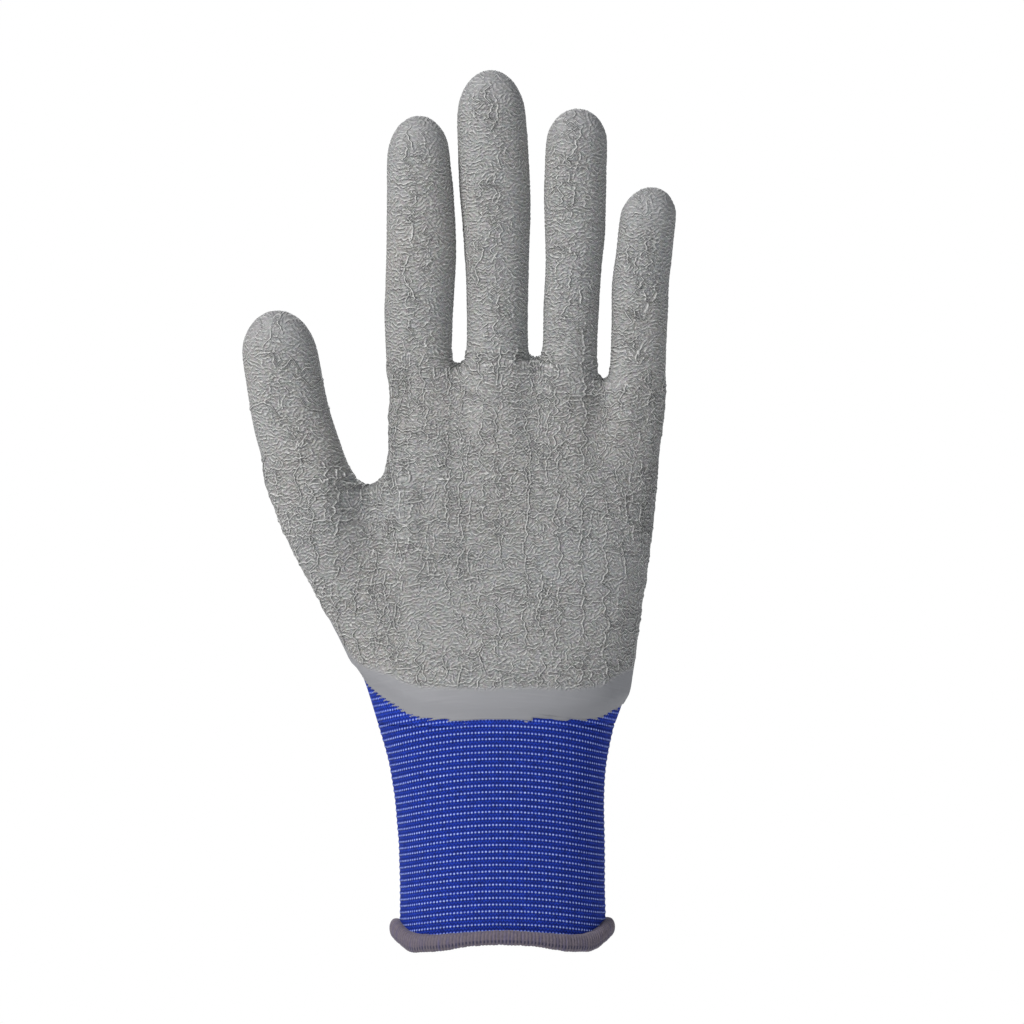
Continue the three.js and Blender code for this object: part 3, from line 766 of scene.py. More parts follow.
# %% Creases of the palm
# spacing, length between kinks and swing of each family in mm, and its seed
UPRIGHT, LYING = (5.8, 2.0, 1.35, 31), (3.6, 1.5, 0.95, 41)
UPRIGHT_MORE, LYING_MORE = (3.2, 1.4, 0.95, 61), (2.4, 1.2, 0.65, 71)
upright, upright_strength, upright_line = creases(unrolled, mm[:, 2], *UPRIGHT)
column = upright_line - (upright < 0)
lying, lying_strength, _ = creases(mm[:, 2], unrolled, *LYING, column)
upright_more, more_strength, more_line = creases(unrolled + 3.0, mm[:, 2], *UPRIGHT_MORE)
lying_more, lying_more_strength, _ = creases(mm[:, 2], unrolled, *LYING_MORE, more_line)
print("upright creases:", len(np.unique(upright_line)))

# %% [markdown]
# On a finger the creases keep to a band that sways about its middle. Strands run up in it, and rungs join
# them. The thumb has slanting folds too, where its top joint bends.

# %% Creases of the fingers
STRAND, RUNG, THUMB_FOLD = (2.5, 1.7, 1.5, 91), (2.9, 1.2, 0.9, 101), (5.2, 2.6, 1.8, 111)
BAND_WIDTH, BAND_SWAY = 5.0, 2.2
THUMB_FROM, THUMB_TO = 148.0, 174.0
band = np.zeros(len(points))
for i, name in enumerate(STALLS):
    mine = point_part == i
    root_middle = (lines[name][1][0] + lines[name][2][0]) / 2 / MM
    sway = BAND_SWAY * flat_noise(mm[mine, 2] / PATCH, float(i), 81)
    own = unrolled[mine] - root_middle + 1.2 - sway
    band[mine] = ease(1.25 - abs(own) / BAND_WIDTH)
strand, strand_strength, strand_line = creases(unrolled, mm[:, 2], *STRAND)
rung, rung_strength, _ = creases(mm[:, 2], unrolled, *RUNG, strand_line)
thumb_fold = (point_part == 0) * ease((mm[:, 2] - THUMB_FROM) / 5.0) * ease((THUMB_TO - mm[:, 2]) / 5.0)
fold, fold_strength, _ = creases(mm[:, 2] + 0.35 * mm[:, 0], mm[:, 0], *THUMB_FOLD)
print("points in the fingers' bands:", int((band > 0.5).sum()))

# %% [markdown]
# Seven families fit into four fields, because palm and fingers never need the same one. Each field holds the
# distance to the nearest crease and its strength, which the mesh uses here and the material later.

# %% The net of creases
palm_share = np.clip(1 - 2 * on_finger, 0, 1)
finger_share = np.clip(2 * on_finger - 1, 0, 1)
plain_thumb = 1 - 0.5 * thumb_fold
finger = on_finger > 0.5
net = [
    (np.where(finger, strand, upright), 0.95 * upright_strength * palm_share
     + 0.95 * strand_strength * band * finger_share * plain_thumb),
    (np.where(finger, rung, lying), 0.85 * lying_strength * palm_share
     + 0.8 * rung_strength * (0.2 + 0.8 * band) * finger_share * plain_thumb),
    (np.where(finger, fold, upright_more), 0.75 * more_strength * busy * palm_share
     + fold_strength * thumb_fold * finger_share),
    (lying_more, 0.65 * lying_more_strength * busy * palm_share),
]
CREASE_ENDS, OFFSET_ENDS = 1.4, 1.8
net = [(np.clip(offset, -OFFSET_ENDS, OFFSET_ENDS), strength * crinkled * (abs(offset) < CREASE_ENDS))
       for offset, strength in net]
print("mean strength of each field:", [round(float(strength.mean()), 2) for _, strength in net])

# %% [markdown]
# ## Crinkles
# Swelling latex buckles with one favourite spacing into a maze of ridges. The same thing happens in numbers:
# start from random heights, take the difference of a short and a longer blur, sharpen it, and repeat. Only
# ridges of one width survive. Blurring more sideways than upwards lays them across the hand, and adding the
# creases at every round makes the maze run along them.

# %% Crinkles
RIDGE_SPACING = 1.05
SIDEWAYS = 0.5
DRIVE_REACH = 0.9
FOLD_REACH = 0.6

level = np.cross((0.0, 0.0, 1.0), normals)
level /= np.maximum(np.linalg.norm(level, axis=1, keepdims=True), 0.2)
edge_way = points[table] - points[:, None, :]
edge_way /= np.maximum(np.linalg.norm(edge_way, axis=2, keepdims=True), 1e-9)
lean = np.einsum("nki,ni->nk", edge_way, level) ** 2
strip = np.clip(SIDEWAYS * (1 - 0.8 * on_finger * band) * (1 - 0.6 * busy), 0, 1)[:, None]
weights = 1 + strip * (2 * lean - 1)
weights /= weights.sum(axis=1, keepdims=True)
weights = weights.astype(np.float32)

drive = np.zeros(len(points), np.float32)
fold_height = np.zeros(len(points))
for offset, strength in net:
    wide = np.exp(-((offset / DRIVE_REACH) ** 2)) * strength
    drive += (wide * np.cos(2 * math.pi * offset / RIDGE_SPACING)).astype(np.float32)
    fold_height += np.exp(-((offset / FOLD_REACH) ** 2)) * strength
fold_height = np.minimum(fold_height, 1.3)


def blurred(field, rounds):
    """A field averaged with its neighbours' by the weights, some rounds over."""
    for _ in range(rounds):
        field = np.einsum("nk,nk->n", field[table], weights)
    return field


maze = random.standard_normal(len(points)).astype(np.float32)
ROUNDS = 22
for _ in range(ROUNDS):
    short = blurred(maze, 1)
    ridges = short - blurred(short, 4)
    ridges /= ridges.std()
    maze = np.tanh(1.2 * ridges + 1.4 * drive)
maze = smoothed(maze, table, 1, 0.5)
print("maze from", round(float(maze.min()), 2), "to", round(float(maze.max()), 2))

# %% [markdown]
# ## The coat
# The heights will push the fine mesh out along its normals. The ridges are narrower than the valleys between
# them, and they stand tallest along the creases. They are lower at the fingertips. A slow waviness keeps
# large areas from being dead flat. All these heights are in millimetres.

# %% Heights of the coat
FINE_RELIEF = 0.14
FOLD_RELIEF = 0.24
TIP_RUN, TIP_CALM = 12.0, 0.4
tip_calm = np.ones(len(points))
for i, name in enumerate(STALLS):
    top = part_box(name)[1].z / MM
    calmer = 1 - TIP_CALM * ease((mm[:, 2] - top + 14.0) / TIP_RUN)
    tip_calm = np.where(point_part == i, calmer, tip_calm)
crest = ((1 + maze) / 2) ** 1.4
height = (crest - 0.4) * FINE_RELIEF + (fold_height - 0.3) * FOLD_RELIEF
height *= crinkled * tip_calm
height += 0.12 * noise(mm / (9.0, 9.0, 7.0), 111) + 0.05 * noise(mm / 3.0, 121)
print("coat heights in mm from", round(float(height.min()), 2), "to", round(float(height.max()), 2))

# %% [markdown]
# At the cuff the film's edge follows the loops. It ends course by course, and the bare yarn runs out in a
# point between two steps. Right of the middle the edge takes one whole course at once, as on the real glove.
# Elsewhere it wanders a little. The result is how deep each point lies inside the film, in millimetres.

# %% Edge of the film
TOOTH = 2.2
STEP_X = 8.5
CUFF_BELOW, SIDE_BEFORE = 86.0, 4.0
course = knit_uv(points[:, 2], across_of(points, "sleeve"), unrolled)[:, 1]
edge_points = np.column_stack([slots, 0 * slots, low_edge])
edge_course = knit_uv(edge_points[:, 2], across_of(edge_points, "sleeve"), slots)[:, 1]
in_course = abs(2 * (course - np.floor(course)) - 1)
lowest = slots[np.argmin(low_edge)]
side = np.tanh((lowest - coat_around) / (3 * MM))
edge_here = np.interp(coat_around + TOOTH * MM * in_course * side, slots, edge_course)
edge_here += 0.5 * flat_noise(unrolled / 3.5, 0.0, 131, kinked=True)
edge_here += 0.5 * (1 + np.tanh((mm[:, 0] - STEP_X) / 0.3))
row_depth = (np.floor(course) + 0.5 - edge_here) * COURSE / MM
even_depth = (course - np.interp(coat_around, slots, edge_course)) * COURSE / MM
at_cuff = ease((CUFF_BELOW - mm[:, 2]) / 6.0) * (mm[:, 1] < SIDE_BEFORE)
ragged = 0.9 * noise(mm / 5.0, 141) + 0.4 * noise(mm / 1.4, 151)
edge_depth = coat_inside / MM + 1.8 * at_cuff + ragged * (1 - at_cuff)
depth = edge_depth + at_cuff * (np.minimum(even_depth + 0.8, edge_depth) - edge_depth)
edge_depth = np.where(at_cuff > 0.5, np.minimum(row_depth, edge_depth), edge_depth)
print("courses that the edge runs through:", np.round([edge_course.min(), edge_course.max()], 1))

# %% [markdown]
# The film is 1.35 mm thick inside and thins to 0.2 mm at its edge, slowly at the cuff and quickly elsewhere.
# Past the edge it dives into the knit, so that no slit shows.

# %% Surface of the coat
COAT_OVER_KNIT = 1.35
EDGE_FILM = 0.2
EDGE_SINK = 0.15
EDGE_RUNS_OUT = 0.35
lift = ease(depth / (1.2 + 4.5 * at_cuff))
film = EDGE_FILM + (COAT_OVER_KNIT - EDGE_FILM) * lift
film -= (EDGE_FILM + EDGE_SINK) * ease(-edge_depth / EDGE_RUNS_OUT)
thin = ease(edge_depth / 2.0)
surface = points + normals * ((film + height * thin)[:, None] * MM)
coat_normals = vertex_normals(surface, quads)
shown = edge_depth[quads].max(axis=1) > -EDGE_RUNS_OUT
print("quads that show:", int(shown.sum()))

# %% [markdown]
# ## Making pieces
# One function turns points and quads into an object with smooth shading, values for the material to read,
# and, where a surface is split into several pieces, the normals of the whole so that no split shows.


# %% Making pieces
def make_piece(name, points, faces, replaces, material, values=None, whole_normals=None, uv=None):
    """A mesh object on the glove's body, which stands for CAD nodes."""
    mesh = bpy.data.meshes.new(name)
    mesh.from_pydata(points.tolist(), [], [list(map(int, face)) for face in faces])
    mesh.polygons.foreach_set("use_smooth", np.ones(len(mesh.polygons), bool))
    for key, field in (values or {}).items():
        attribute = mesh.attributes.new(key, "FLOAT", "POINT")
        attribute.data.foreach_set("value", np.asarray(field, np.float32))
    if uv is not None:
        corners = np.empty(len(mesh.loops), np.int32)
        mesh.loops.foreach_get("vertex_index", corners)
        mesh.uv_layers.new(name="UVMap").data.foreach_set("uv", uv[corners].astype(np.float32).ravel())
    mesh.materials.append(material)
    if whole_normals is not None:
        mesh.normals_split_custom_set_from_vertices(whole_normals.tolist())
    made = bpy.data.objects.new(name, mesh)
    scene.collection.objects.link(made)
    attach(made, "root")
    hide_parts(*replaces)
    return made

# %% [markdown]
# ## Crinkled latex
# Natural rubber latex is soft, dull and slightly greasy to the eye: a dielectric with an index of 1.52 and
# medium roughness. The dip is grey, a touch warmer here and cooler there, and cooler still in the smooth
# band. The mesh gives each crease its fold. The material draws its sharp crest and its two flanking grooves
# from the distance to the crease, which is stored at the points, and adds wavy crinkles 1 mm apart between
# them. The grooves get painted shade and the crests a painted highlight. The real crinkles go down to half a
# millimetre. They are drawn 1 mm apart, because the picture shows nothing finer.

# %% Latex material
CREASE_REACH = 0.5
CRINKLE_SPACING = 1.0
coat_values = {"crinkled": crinkled * tip_calm, "course": course}
for number, (offset, strength) in enumerate(net):
    coat_values[f"off{number}"] = offset
    coat_values[f"strength{number}"] = strength


def latex_material():
    """Grey latex with sharp creases and fine crinkles, with a painted highlight on its crests and painted
    shade in its grooves.
    """
    material = new_material("natural_rubber_latex_crinkle_dipped")
    node = partial(add, material)
    stored = {name: node("Attribute", attribute_name=name).outputs["Fac"] for name in coat_values}
    # the creases: a wave across each line, which dies out beside it
    folds, fold_mask = 0.0, 0.0
    for number in range(len(net)):
        off = stored[f"off{number}"]
        near = node("Math MULTIPLY", node("Math MULTIPLY", off, off), -1 / CREASE_REACH**2)
        near = node("Math MULTIPLY", node("Math EXPONENT", near), stored[f"strength{number}"])
        wave = node("Math COSINE", node("Math MULTIPLY", off, 2 * math.pi / RIDGE_SPACING))
        folds = node("Math MULTIPLY_ADD", near, wave, folds)
        fold_mask = node("Math MAXIMUM", near, fold_mask)
    # the crinkles between them: short waves that turn from place to place
    uv = node("UVMap", uv_map="UVMap")
    sway = node("TexNoise", Vector=uv, Scale=0.45, Detail=1.0)
    pushed = node("VectorMath MULTIPLY_ADD", sway.outputs["Color"], (0.9, 0.9, 0.0), uv)
    zone = node("TexNoise", Vector=uv, Scale=0.28, Detail=1.0)
    turned = node("Math MULTIPLY_ADD", zone, 5.0, math.radians(90.0) - 2.5)
    waves = node("TexGabor", gabor_type="2D", Vector=pushed, Scale=1 / (1.6 * CRINKLE_SPACING),
                 Frequency=1.6, Anisotropy=0.6, Orientation=turned)
    crinkle = node("Math SUBTRACT", node("Math MULTIPLY", waves, 2.0), 1.0)
    crinkle = node("Math TANH", node("Math MULTIPLY", crinkle, 2.2))
    calm = node("Math SUBTRACT", 0.65, node("Math MULTIPLY", fold_mask, 0.6))
    fine = node("Math MULTIPLY", crinkle, calm)
    relief = node("Math MULTIPLY", node("Math MULTIPLY_ADD", folds, 1.15, fine), stored["crinkled"])
    # the knit shows through the film as faint streaks along its courses
    across = node("Math MULTIPLY", node("SeparateXYZ", uv), 0.05)
    rows = node("CombineXYZ", across, stored["course"])
    streaks = node("TexNoise", Vector=rows, Scale=0.9, Detail=2.0)
    relief = node("Math MULTIPLY_ADD", streaks, 0.25, relief)
    # greys: the ground, the smooth band, a painted highlight on the crests and painted shade in the grooves
    place = node("TexCoord").outputs["Object"]
    tint = node("TexNoise", Vector=place, Scale=38.0, Detail=2.0)
    warm = node("Mix", data_type="RGBA", in0=tint, in6=linear("#8e9193"), in7=linear("#94928f"))
    speck = node("TexNoise", Vector=place, Scale=900.0, Detail=3.0)
    mottled = node("Mix", data_type="RGBA", blend_type="OVERLAY", in0=0.15, in6=warm,
                   in7=speck.outputs["Color"])
    ground = node("Mix", data_type="RGBA", in0=stored["crinkled"], in6=linear("#8a8b8f"), in7=mottled)
    # painted highlight: the crests of the relief are drawn paler
    painted_highlight = node("MapRange", relief, 0.15, 0.9, 0.0, 0.85)
    light = node("Mix", data_type="RGBA", in0=painted_highlight, in6=ground, in7=linear("#dadbd9"))
    # painted shade: the grooves of the relief are drawn darker
    painted_shade = node("MapRange", relief, -0.1, -0.9, 0.0, 0.85)
    dark = node("Mix", data_type="RGBA", in0=painted_shade, in6=light, in7=linear("#575959"))
    bump = node("Bump", Height=relief, Strength=1.0, Distance=0.42 * MM)
    rough = node("MapRange", speck, in3=0.5, in4=0.66)
    shader = node("BsdfPrincipled", Base_Color=dark, IOR=1.52, Roughness=rough, Normal=bump,
                  Specular_IOR_Level=0.45)
    node("OutputMaterial", shader)
    return material


latex = latex_material()
print("latex nodes:", len(latex.node_tree.nodes))

# %% [markdown]
# ## The coat's pieces
# A coat this fine has more triangles than one piece should hold, so it is cut at the finger roots and once
# across the palm. All pieces keep the normals of the whole, so the cuts don't show.

# %% Pieces of the coat
centre_z = surface[quads].mean(axis=1)[:, 2]
coat_uv = np.column_stack([unrolled, mm[:, 2]])
SPLIT_Z = 112.0 * MM
coat_names = ["coat_thumb", "coat_index", "coat_middle", "coat_ring", "coat_little",
              "coat_palm_low", "coat_palm_high"]
piece_of = np.where((coat_part == PALM) & (centre_z > SPLIT_Z), PALM + 1, coat_part)
for number, name in enumerate(coat_names):
    mine = quads[shown & (piece_of == number)]
    used, flat = np.unique(mine, return_inverse=True)
    make_piece(
        name, surface[used], flat.reshape(-1, 4), ["latex_coat"], latex,
        values={key: field[used] for key, field in coat_values.items()},
        whole_normals=coat_normals[used], uv=coat_uv[used],
    )
    print(name, 2 * len(mine), "triangles")

# %% [markdown]
# ## Knitted walls
# A knit is 1 mm thick, so each knitted piece gets an inner face as well. It is coarser than the outer one,
# and along the open rim one face with many corners joins both, so the wall stays closed.


# %% Inner faces
def with_inner_face(rows, quads, coarse_rows, coarse_quads, wall):
    """Adds an inner face to a fine sheet, from the coarse sheet that it was refined from."""
    count = len(rows)
    inner = coarse_rows[:, :3] - vertex_normals(coarse_rows[:, :3], coarse_quads) * wall
    faces = [*quads.tolist(), *(coarse_quads[:, ::-1] + count).tolist()]
    sides = np.concatenate([quads[:, [i, (i + 1) % 4]] for i in range(4)])
    key = np.sort(sides, axis=1)
    _, first, number = np.unique(key, axis=0, return_index=True, return_counts=True)
    after = dict(sides[first[number == 1]].tolist())
    corners = {a for a in after if a < len(coarse_rows)}
    for a in corners:
        chain = [a]
        while len(chain) == 1 or chain[-1] not in corners:
            chain.append(after[chain[-1]])
        faces.append([*reversed(chain), a + count, chain[-1] + count])
    inner_rows = coarse_rows.copy()
    inner_rows[:, :3] = inner
    return np.concatenate([rows, inner_rows]), faces


KNIT_WALL = 1.0 * MM
print("knit wall", KNIT_WALL / MM, "mm")

# %% [markdown]
# ## Knit patterns
# Each loop of the knit shows as a V. In the cuff a thick elastic is laid in with a white plating yarn, which
# peeps out once in each loop of every second course as a pale dot. The yarn is textured polyester: dull,
# with an index of 1.54 and a slight sheen from its fibres. The material reads wales and courses from the UV
# map, so one unit of U is a wale and one unit of V is a course.


# %% Knit material
def knit_material(name, deep, bright, dot, dotted_below):
    """Plain knit with Vs and painted shade between the loops, and with pale dots in every second course below
    a height in courses.
    """
    material = new_material(name)
    node = partial(add, material)
    uv = node("UVMap", uv_map="UVMap")
    uneven = node("TexNoise", Vector=node("TexCoord").outputs["Object"], Scale=700.0, Detail=2.0)
    u, v = node("SeparateXYZ", uv).outputs[:2]
    # the two legs of each V
    in_wale = node("Math ABSOLUTE", node("Math SUBTRACT", node("Math FRACT", u), 0.5))
    leg = node("Math FRACT", node("Math ADD", v, node("Math MULTIPLY", in_wale, 1.3)))
    stitch = node("Math SINE", node("Math MULTIPLY", leg, math.pi))
    valley = node("Math SINE", node("Math MULTIPLY", node("Math MULTIPLY", in_wale, 2.0), math.pi))
    loops = node("Math MULTIPLY", stitch, node("Math ADD", node("Math MULTIPLY", valley, 0.6), 0.4))
    # the dots: one in each wale of every second course, none quite in its place and all of their own white
    wander = node("Math MULTIPLY", node("Math SUBTRACT", uneven, 0.5), 0.35)
    beside = node("Math SUBTRACT", node("Math FRACT", node("Math ADD", u, wander)), 0.5)
    beside = node("Math MULTIPLY", beside, 1.05)
    above = node("Math SUBTRACT", node("Math FRACT", node("Math MULTIPLY", v, 0.5)), 0.5)
    above = node("Math MULTIPLY", above, 1.9)
    far = node("Math ADD", node("Math MULTIPLY", beside, beside), node("Math MULTIPLY", above, above))
    far = node("Math SQRT", far)
    spot = node("MapRange", far, 0.36, 0.16, 0.0, 1.0, interpolation_type="SMOOTHSTEP")
    row_here = node("MapRange", v, dotted_below + 1.0, dotted_below)
    each = node("TexWhiteNoise", noise_dimensions="2D", Vector=node("VectorMath FLOOR", uv))
    shine = node("Math ADD", node("Math MULTIPLY", each, 0.5), 0.5)
    dots = node("Math MULTIPLY", node("Math MULTIPLY", spot, row_here), shine)
    # colours and height: the deep colour between the loops is painted shade
    body = node("Mix", data_type="RGBA", in0=loops, in6=linear(deep), in7=linear(bright))
    fuzz = node("Mix", data_type="RGBA", blend_type="OVERLAY", in0=0.6, in6=body, in7=uneven)
    colour = node("Mix", data_type="RGBA", in0=dots, in6=fuzz, in7=linear(dot))
    raised = node("Math ADD", node("Math MULTIPLY", loops, 0.7), node("Math MULTIPLY", dots, 0.9))
    bump = node("Bump", Height=raised, Strength=0.7, Distance=0.3 * MM)
    shader = node("BsdfPrincipled", Base_Color=colour, IOR=1.54, Roughness=0.82, Normal=bump,
                  Specular_IOR_Level=0.2, Sheen_Weight=0.06, Sheen_Roughness=0.4,
                  Sheen_Tint=linear("#5c78ff"))
    node("OutputMaterial", shader)
    return material


print("wale", round(WALE / MM, 2), "mm, course", COURSE / MM, "mm")

# %% [markdown]
# ## The liner
# One seamless piece stands for the five stalls and the palm. Only its back, and slivers beside the coat,
# stay blue.

# %% Liner
LINER_GRID = 1.25 * MM
coarse = np.column_stack([smooth_points, around])
liner_rows, liner_quads, _ = refined(coarse, smooth_quads, LINER_GRID)
liner_rows, liner_faces = with_inner_face(liner_rows, liner_quads, coarse, smooth_quads, KNIT_WALL)
liner_points = liner_rows[:, :3]
liner_uv = knit_uv(liner_points[:, 2], across_of(liner_points, "sleeve"), liner_rows[:, 3] / WALE)
DOTTED_TO = (WRIST_Z + 12 * MM) / COURSE
knit_hand = knit_material("polyester_plain_knit_royal_blue", "#010938", "#1d41c4", "#a9bcff", DOTTED_TO)
make_piece("knit_liner", liner_points, liner_faces, HAND_NODES, knit_hand, uv=liner_uv)
print("liner:", sum(len(f) - 2 for f in liner_faces), "triangles")

# %% [markdown]
# ## The cuff
# The cuff is a tube, so it is easier to lay its mesh out in rows and columns than to refine the CAD's. The
# CAD gives its rings. Smooth curves through them, with over three points to a wale and nearly four to a
# pair of courses, let every dotted course stand out as a real ridge. The mouth isn't level: its thick edge
# hangs lower at both sides than in the middle.


# %% Rings of a tube
def rings_of(name, spacing):
    """The rings of a tube's outer sheet from the lowest up, each in order round the tube."""
    sheet = outer_sheet(name)
    places = np.array([v.co for v in sheet.verts])
    sheet.free()
    places = places[np.argsort(places[:, 2])]
    cuts = np.flatnonzero(np.diff(places[:, 2]) > spacing) + 1
    rings = []
    for ring in np.split(places, cuts):
        middle = ring.mean(axis=0)
        rings.append(ring[np.argsort(np.arctan2(ring[:, 0] - middle[0], middle[1] - ring[:, 1]))])
    return np.array(rings)


def through(points, at, closed):
    """A smooth curve through points, at places counted in points. The first axis of points is the curve's."""
    count = len(points)
    base = np.floor(at).astype(int)
    if not closed:
        base = np.minimum(base, count - 2)
    t = (at - base).reshape([-1] + [1] * (points.ndim - 1))
    pick = (lambda i: points[i % count]) if closed else (lambda i: points[np.clip(i, 0, count - 1)])
    a, b, c, d = (pick(base + k) for k in (-1, 0, 1, 2))
    return b + 0.5 * t * (c - a + t * (2 * a - 5 * b + 4 * c - d + t * (3 * (b - c) + d - a)))


DROOP, DROOP_LEFT_MORE, MIDDLE_LIFT = 1.2, 0.6, 1.0


def drooped(places):
    """Lets the sides of the mouth hang, and lifts its middle a little."""
    out = abs(places[..., 0]) / MM
    low = np.clip(1 - places[..., 2] / (25 * MM), 0, 1)
    middle = (1 - ease((out - 8.0) / 13.0)) * np.clip(1 - places[..., 2] / (6 * MM), 0, 1)
    moved = places.copy()
    hang = DROOP + DROOP_LEFT_MORE * (places[..., 0] < 0)
    moved[..., 2] -= hang * MM * ease((out - 21.5) / 6.0) * low
    moved[..., 2] += MIDDLE_LIFT * MM * middle
    return moved


RING_GAP = 2.0 * MM
INTO_HEM = 2.0 * MM
rings = rings_of("cuff", RING_GAP)
rings[0, :, 2] -= INTO_HEM
print("cuff rings:", rings.shape[0], "of", rings.shape[1], "points")


# %% Cuff
def tube_faces(rows, columns):
    """Quads of a closed tube, facing outwards, for rings that run from -Y over +X to +Y."""
    i, j = np.meshgrid(np.arange(rows - 1), np.arange(columns), indexing="ij")
    right = (j + 1) % columns
    low, high = i * columns, (i + 1) * columns
    return np.stack([low + j, low + right, high + right, high + j], axis=-1).reshape(-1, 4)


def tube(rings, rows, columns):
    """A smooth tube through rings."""
    ring_at = np.linspace(0, rings.shape[1], columns, endpoint=False)
    fine = through(np.swapaxes(rings, 0, 1), ring_at, True)
    return through(np.swapaxes(fine, 0, 1), np.linspace(0, len(rings) - 1, rows), False)


CUFF_ROWS = 121
INNER_ROWS, INNER_COLUMNS = 25, 190
CUFF_COLUMNS = 3 * INNER_COLUMNS
RIB = 0.11 * MM
WAVINESS = 0.25 * MM
cuff_grid = drooped(tube(rings, CUFF_ROWS, CUFF_COLUMNS))
cuff_grid[-1, :, 2] = WRIST_Z
cuff_points = cuff_grid.reshape(-1, 3)
cuff_quads = tube_faces(CUFF_ROWS, CUFF_COLUMNS)
cuff_across = across_of(cuff_points, "sleeve")
cuff_wales = round_middle(cuff_points, "sleeve") / WALE
cuff_uv = knit_uv(cuff_points[:, 2], cuff_across, cuff_wales)
course_wave = np.cos(math.pi * (cuff_uv[:, 1] - 1.0))
wale_wave = np.cos(2 * math.pi * (cuff_wales - 0.5))
swell = RIB * course_wave * (1 + 0.35 * wale_wave)
swell += WAVINESS * noise(cuff_points / MM / (14.0, 14.0, 9.0), 161)
cuff_points = cuff_points + vertex_normals(cuff_points, cuff_quads) * swell[:, None]

print("cuff's outer side:", cuff_grid.shape[0], "rows of", cuff_grid.shape[1])

# %% [markdown]
# The inner side of the cuff has a third of the columns. At both ends one face with six corners joins each
# inner edge to three outer ones, so the wall is closed.

# %% Inner side of the cuff
inner_grid = drooped(tube(rings, INNER_ROWS, INNER_COLUMNS)).reshape(-1, 3)
inner_quads = tube_faces(INNER_ROWS, INNER_COLUMNS)
inner_points = inner_grid - vertex_normals(inner_grid, inner_quads) * KNIT_WALL
start = len(cuff_points)
cuff_faces = [*cuff_quads.tolist(), *(inner_quads[:, ::-1] + start).tolist()]
for outer_row, inner_row, flip in ((0, 0, False), (CUFF_ROWS - 1, INNER_ROWS - 1, True)):
    for j in range(INNER_COLUMNS):
        k = (j + 1) % INNER_COLUMNS
        outer = [outer_row * CUFF_COLUMNS + (3 * j + s) % CUFF_COLUMNS for s in range(4)]
        inner = [start + inner_row * INNER_COLUMNS + k, start + inner_row * INNER_COLUMNS + j]
        ring_face = [*outer, *inner]
        cuff_faces.append(ring_face if flip else ring_face[::-1])
cuff_all = np.concatenate([cuff_points, inner_points])
inner_wales = round_middle(inner_points, "sleeve") / WALE
inner_uv = knit_uv(inner_points[:, 2], across_of(inner_points, "sleeve"), inner_wales)
ALL_COURSES = 500.0
knit_cuff = knit_material("polyester_elastic_knit_white_plaited", "#000730", "#193bb8", "#b6c8ff",
                          ALL_COURSES)
make_piece("knit_cuff", cuff_all, cuff_faces, ["cuff"], knit_cuff,
           uv=np.concatenate([cuff_uv, inner_uv]))
print("cuff:", sum(len(f) - 2 for f in cuff_faces), "triangles")

# %% [markdown]
# ## The hem
# An overlock machine wraps grey thread round the cut edge. The thread lies in close upright turns, 0.85 mm
# apart, and pulls the edge into a soft roll. The CAD gives the roll as a row of slices with eight corners
# each, and smooth curves run through them. Its inner side is made half as wide again, so that the cuff's
# edge ends well inside it.

# %% Slices of the hem
HEM_SIDES = 8
HEM_WIDTH, HEM_DEPTH = 29.4, 21.5
INNER_MORE = 0.5
hem_sheet = welded("cuff_hem")
hem_places = np.array([v.co for v in hem_sheet.verts])
hem_sheet.free()
hem_places = hem_places[np.argsort(np.arctan2(hem_places[:, 0], -hem_places[:, 1]))].reshape(-1, HEM_SIDES, 3)
hem_middle = hem_places.mean(axis=1)
outward = hem_middle * (1.0, 1.0, 0.0)
outward = outward / (HEM_WIDTH**2, HEM_DEPTH**2, 1.0)
outward /= np.linalg.norm(outward, axis=1, keepdims=True)
inner_side = np.minimum(np.einsum("nkj,nj->nk", hem_places - hem_middle[:, None], outward), 0)
hem_places += INNER_MORE * inner_side[:, :, None] * outward[:, None]
hem_angle = np.arctan2(hem_places[:, :, 2] - hem_middle[:, None, 2],
                       np.einsum("nkj,nj->nk", hem_places - hem_middle[:, None], outward))
order = np.argsort(hem_angle, axis=1)
hem_places = np.take_along_axis(hem_places, order[:, :, None], axis=1)
print("hem slices:", len(hem_places))

# %% [markdown]
# Five columns of points make a turn of the thread. It bulges between two grooves, leans a little on its way
# round the roll, and some turns stand prouder than others.

# %% Hem
TURNS = 190
COLUMNS_A_TURN = 5
HEM_COLUMNS = COLUMNS_A_TURN * TURNS
HEM_ROUND = 28
TURN_RELIEF, TURN_UNEVEN, TURN_LEAN = 0.22, 0.10, 0.10
loops = through(hem_places, np.linspace(0, len(hem_places), HEM_COLUMNS, endpoint=False), True)
round_at = np.linspace(0, HEM_SIDES, HEM_ROUND, endpoint=False)
loops = np.swapaxes(through(np.swapaxes(loops, 0, 1), round_at, True), 0, 1)
hem_points = drooped(loops.reshape(-1, 3))
i, j = np.meshgrid(np.arange(HEM_COLUMNS), np.arange(HEM_ROUND), indexing="ij")
next_i, next_j = (i + 1) % HEM_COLUMNS, (j + 1) % HEM_ROUND
here, there = i * HEM_ROUND, next_i * HEM_ROUND
hem_quads = np.stack([here + j, there + j, there + next_j, here + next_j], axis=-1).reshape(-1, 4)
turn_at = (i / COLUMNS_A_TURN + TURN_LEAN * np.sin(j * 2 * math.pi / HEM_ROUND)).ravel()
thread = np.abs(np.sin(math.pi * turn_at)) ** 0.7
bulge = TURN_RELIEF * (thread - 0.7) + TURN_UNEVEN * flat_noise(turn_at, 0.0, 171)
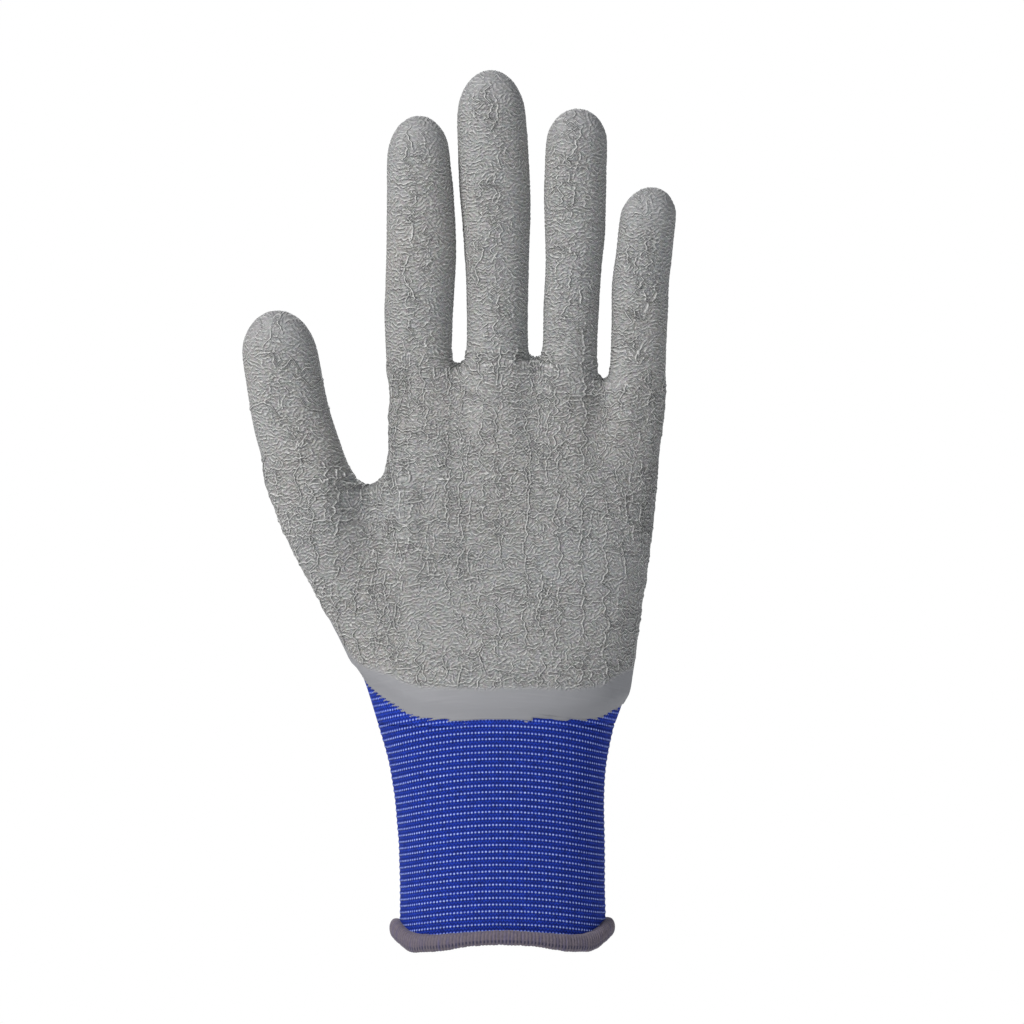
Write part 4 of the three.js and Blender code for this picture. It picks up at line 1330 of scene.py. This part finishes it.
hem_points = hem_points + vertex_normals(hem_points, hem_quads) * (bulge * MM)[:, None]
hem_uv = np.column_stack([turn_at, (j / HEM_ROUND).ravel()])
print("hem:", 2 * len(hem_quads), "triangles")

# %% [markdown]
# ## Overlock thread
# The thread is spun polyester: matt and hairy, warm grey with a faint violet. Blue from the cuff shows
# between its turns here and there, and each turn leaves a small hole near the lower lip of the roll. The gaps
# between the turns and the holes get painted shade.


# %% Hem material
def overlock_material():
    """Grey thread in turns, with blue between them, a row of small holes, and painted shade in the gaps and
    holes.
    """
    material = new_material("spun_polyester_overlock_thread_grey")
    node = partial(add, material)
    uv = node("UVMap", uv_map="UVMap")
    u, v = node("SeparateXYZ", uv).outputs[:2]
    fibres = node("TexNoise", Vector=node("TexCoord").outputs["Object"], Scale=1500.0, Detail=3.0)
    tone = node("Mix", data_type="RGBA", in0=fibres, in6=linear("#4a4351"), in7=linear("#776d75"))
    streak = node("TexNoise", Vector=uv, Scale=1.7, Detail=1.0)
    blue = node("MapRange", streak, 0.5, 0.75, 0.0, 0.5)
    tinted = node("Mix", data_type="RGBA", in0=blue, in6=tone, in7=linear("#3c3c7a"))
    turn = node("Math ABSOLUTE", node("Math SINE", node("Math MULTIPLY", u, math.pi)))
    beside = node("Math SUBTRACT", 1.0, turn)
    gap = node("Math MULTIPLY", node("Math POWER", beside, 3.0), 0.6)
    low = node("Math ABSOLUTE", node("Math SUBTRACT", v, 0.36))
    hole = node("MapRange", low, 0.06, 0.02, 0.0, 1.0, interpolation_type="SMOOTHSTEP")
    hole = node("Math MULTIPLY", hole, node("Math POWER", beside, 0.7))
    shade = node("Math MAXIMUM", gap, hole)
    # painted shade: the gaps between the turns and the holes are drawn dark navy
    shaded = node("Mix", data_type="RGBA", in0=shade, in6=tinted, in7=linear("#14163a"))
    bump = node("Bump", Height=fibres, Strength=0.5, Distance=0.1 * MM)
    shader = node("BsdfPrincipled", Base_Color=shaded, Roughness=0.85, IOR=1.54, Normal=bump,
                  Sheen_Weight=0.2)
    node("OutputMaterial", shader)
    return material


make_piece("overlock_hem", hem_points, hem_quads.tolist(), ["cuff_hem"],
           overlock_material(), uv=hem_uv)
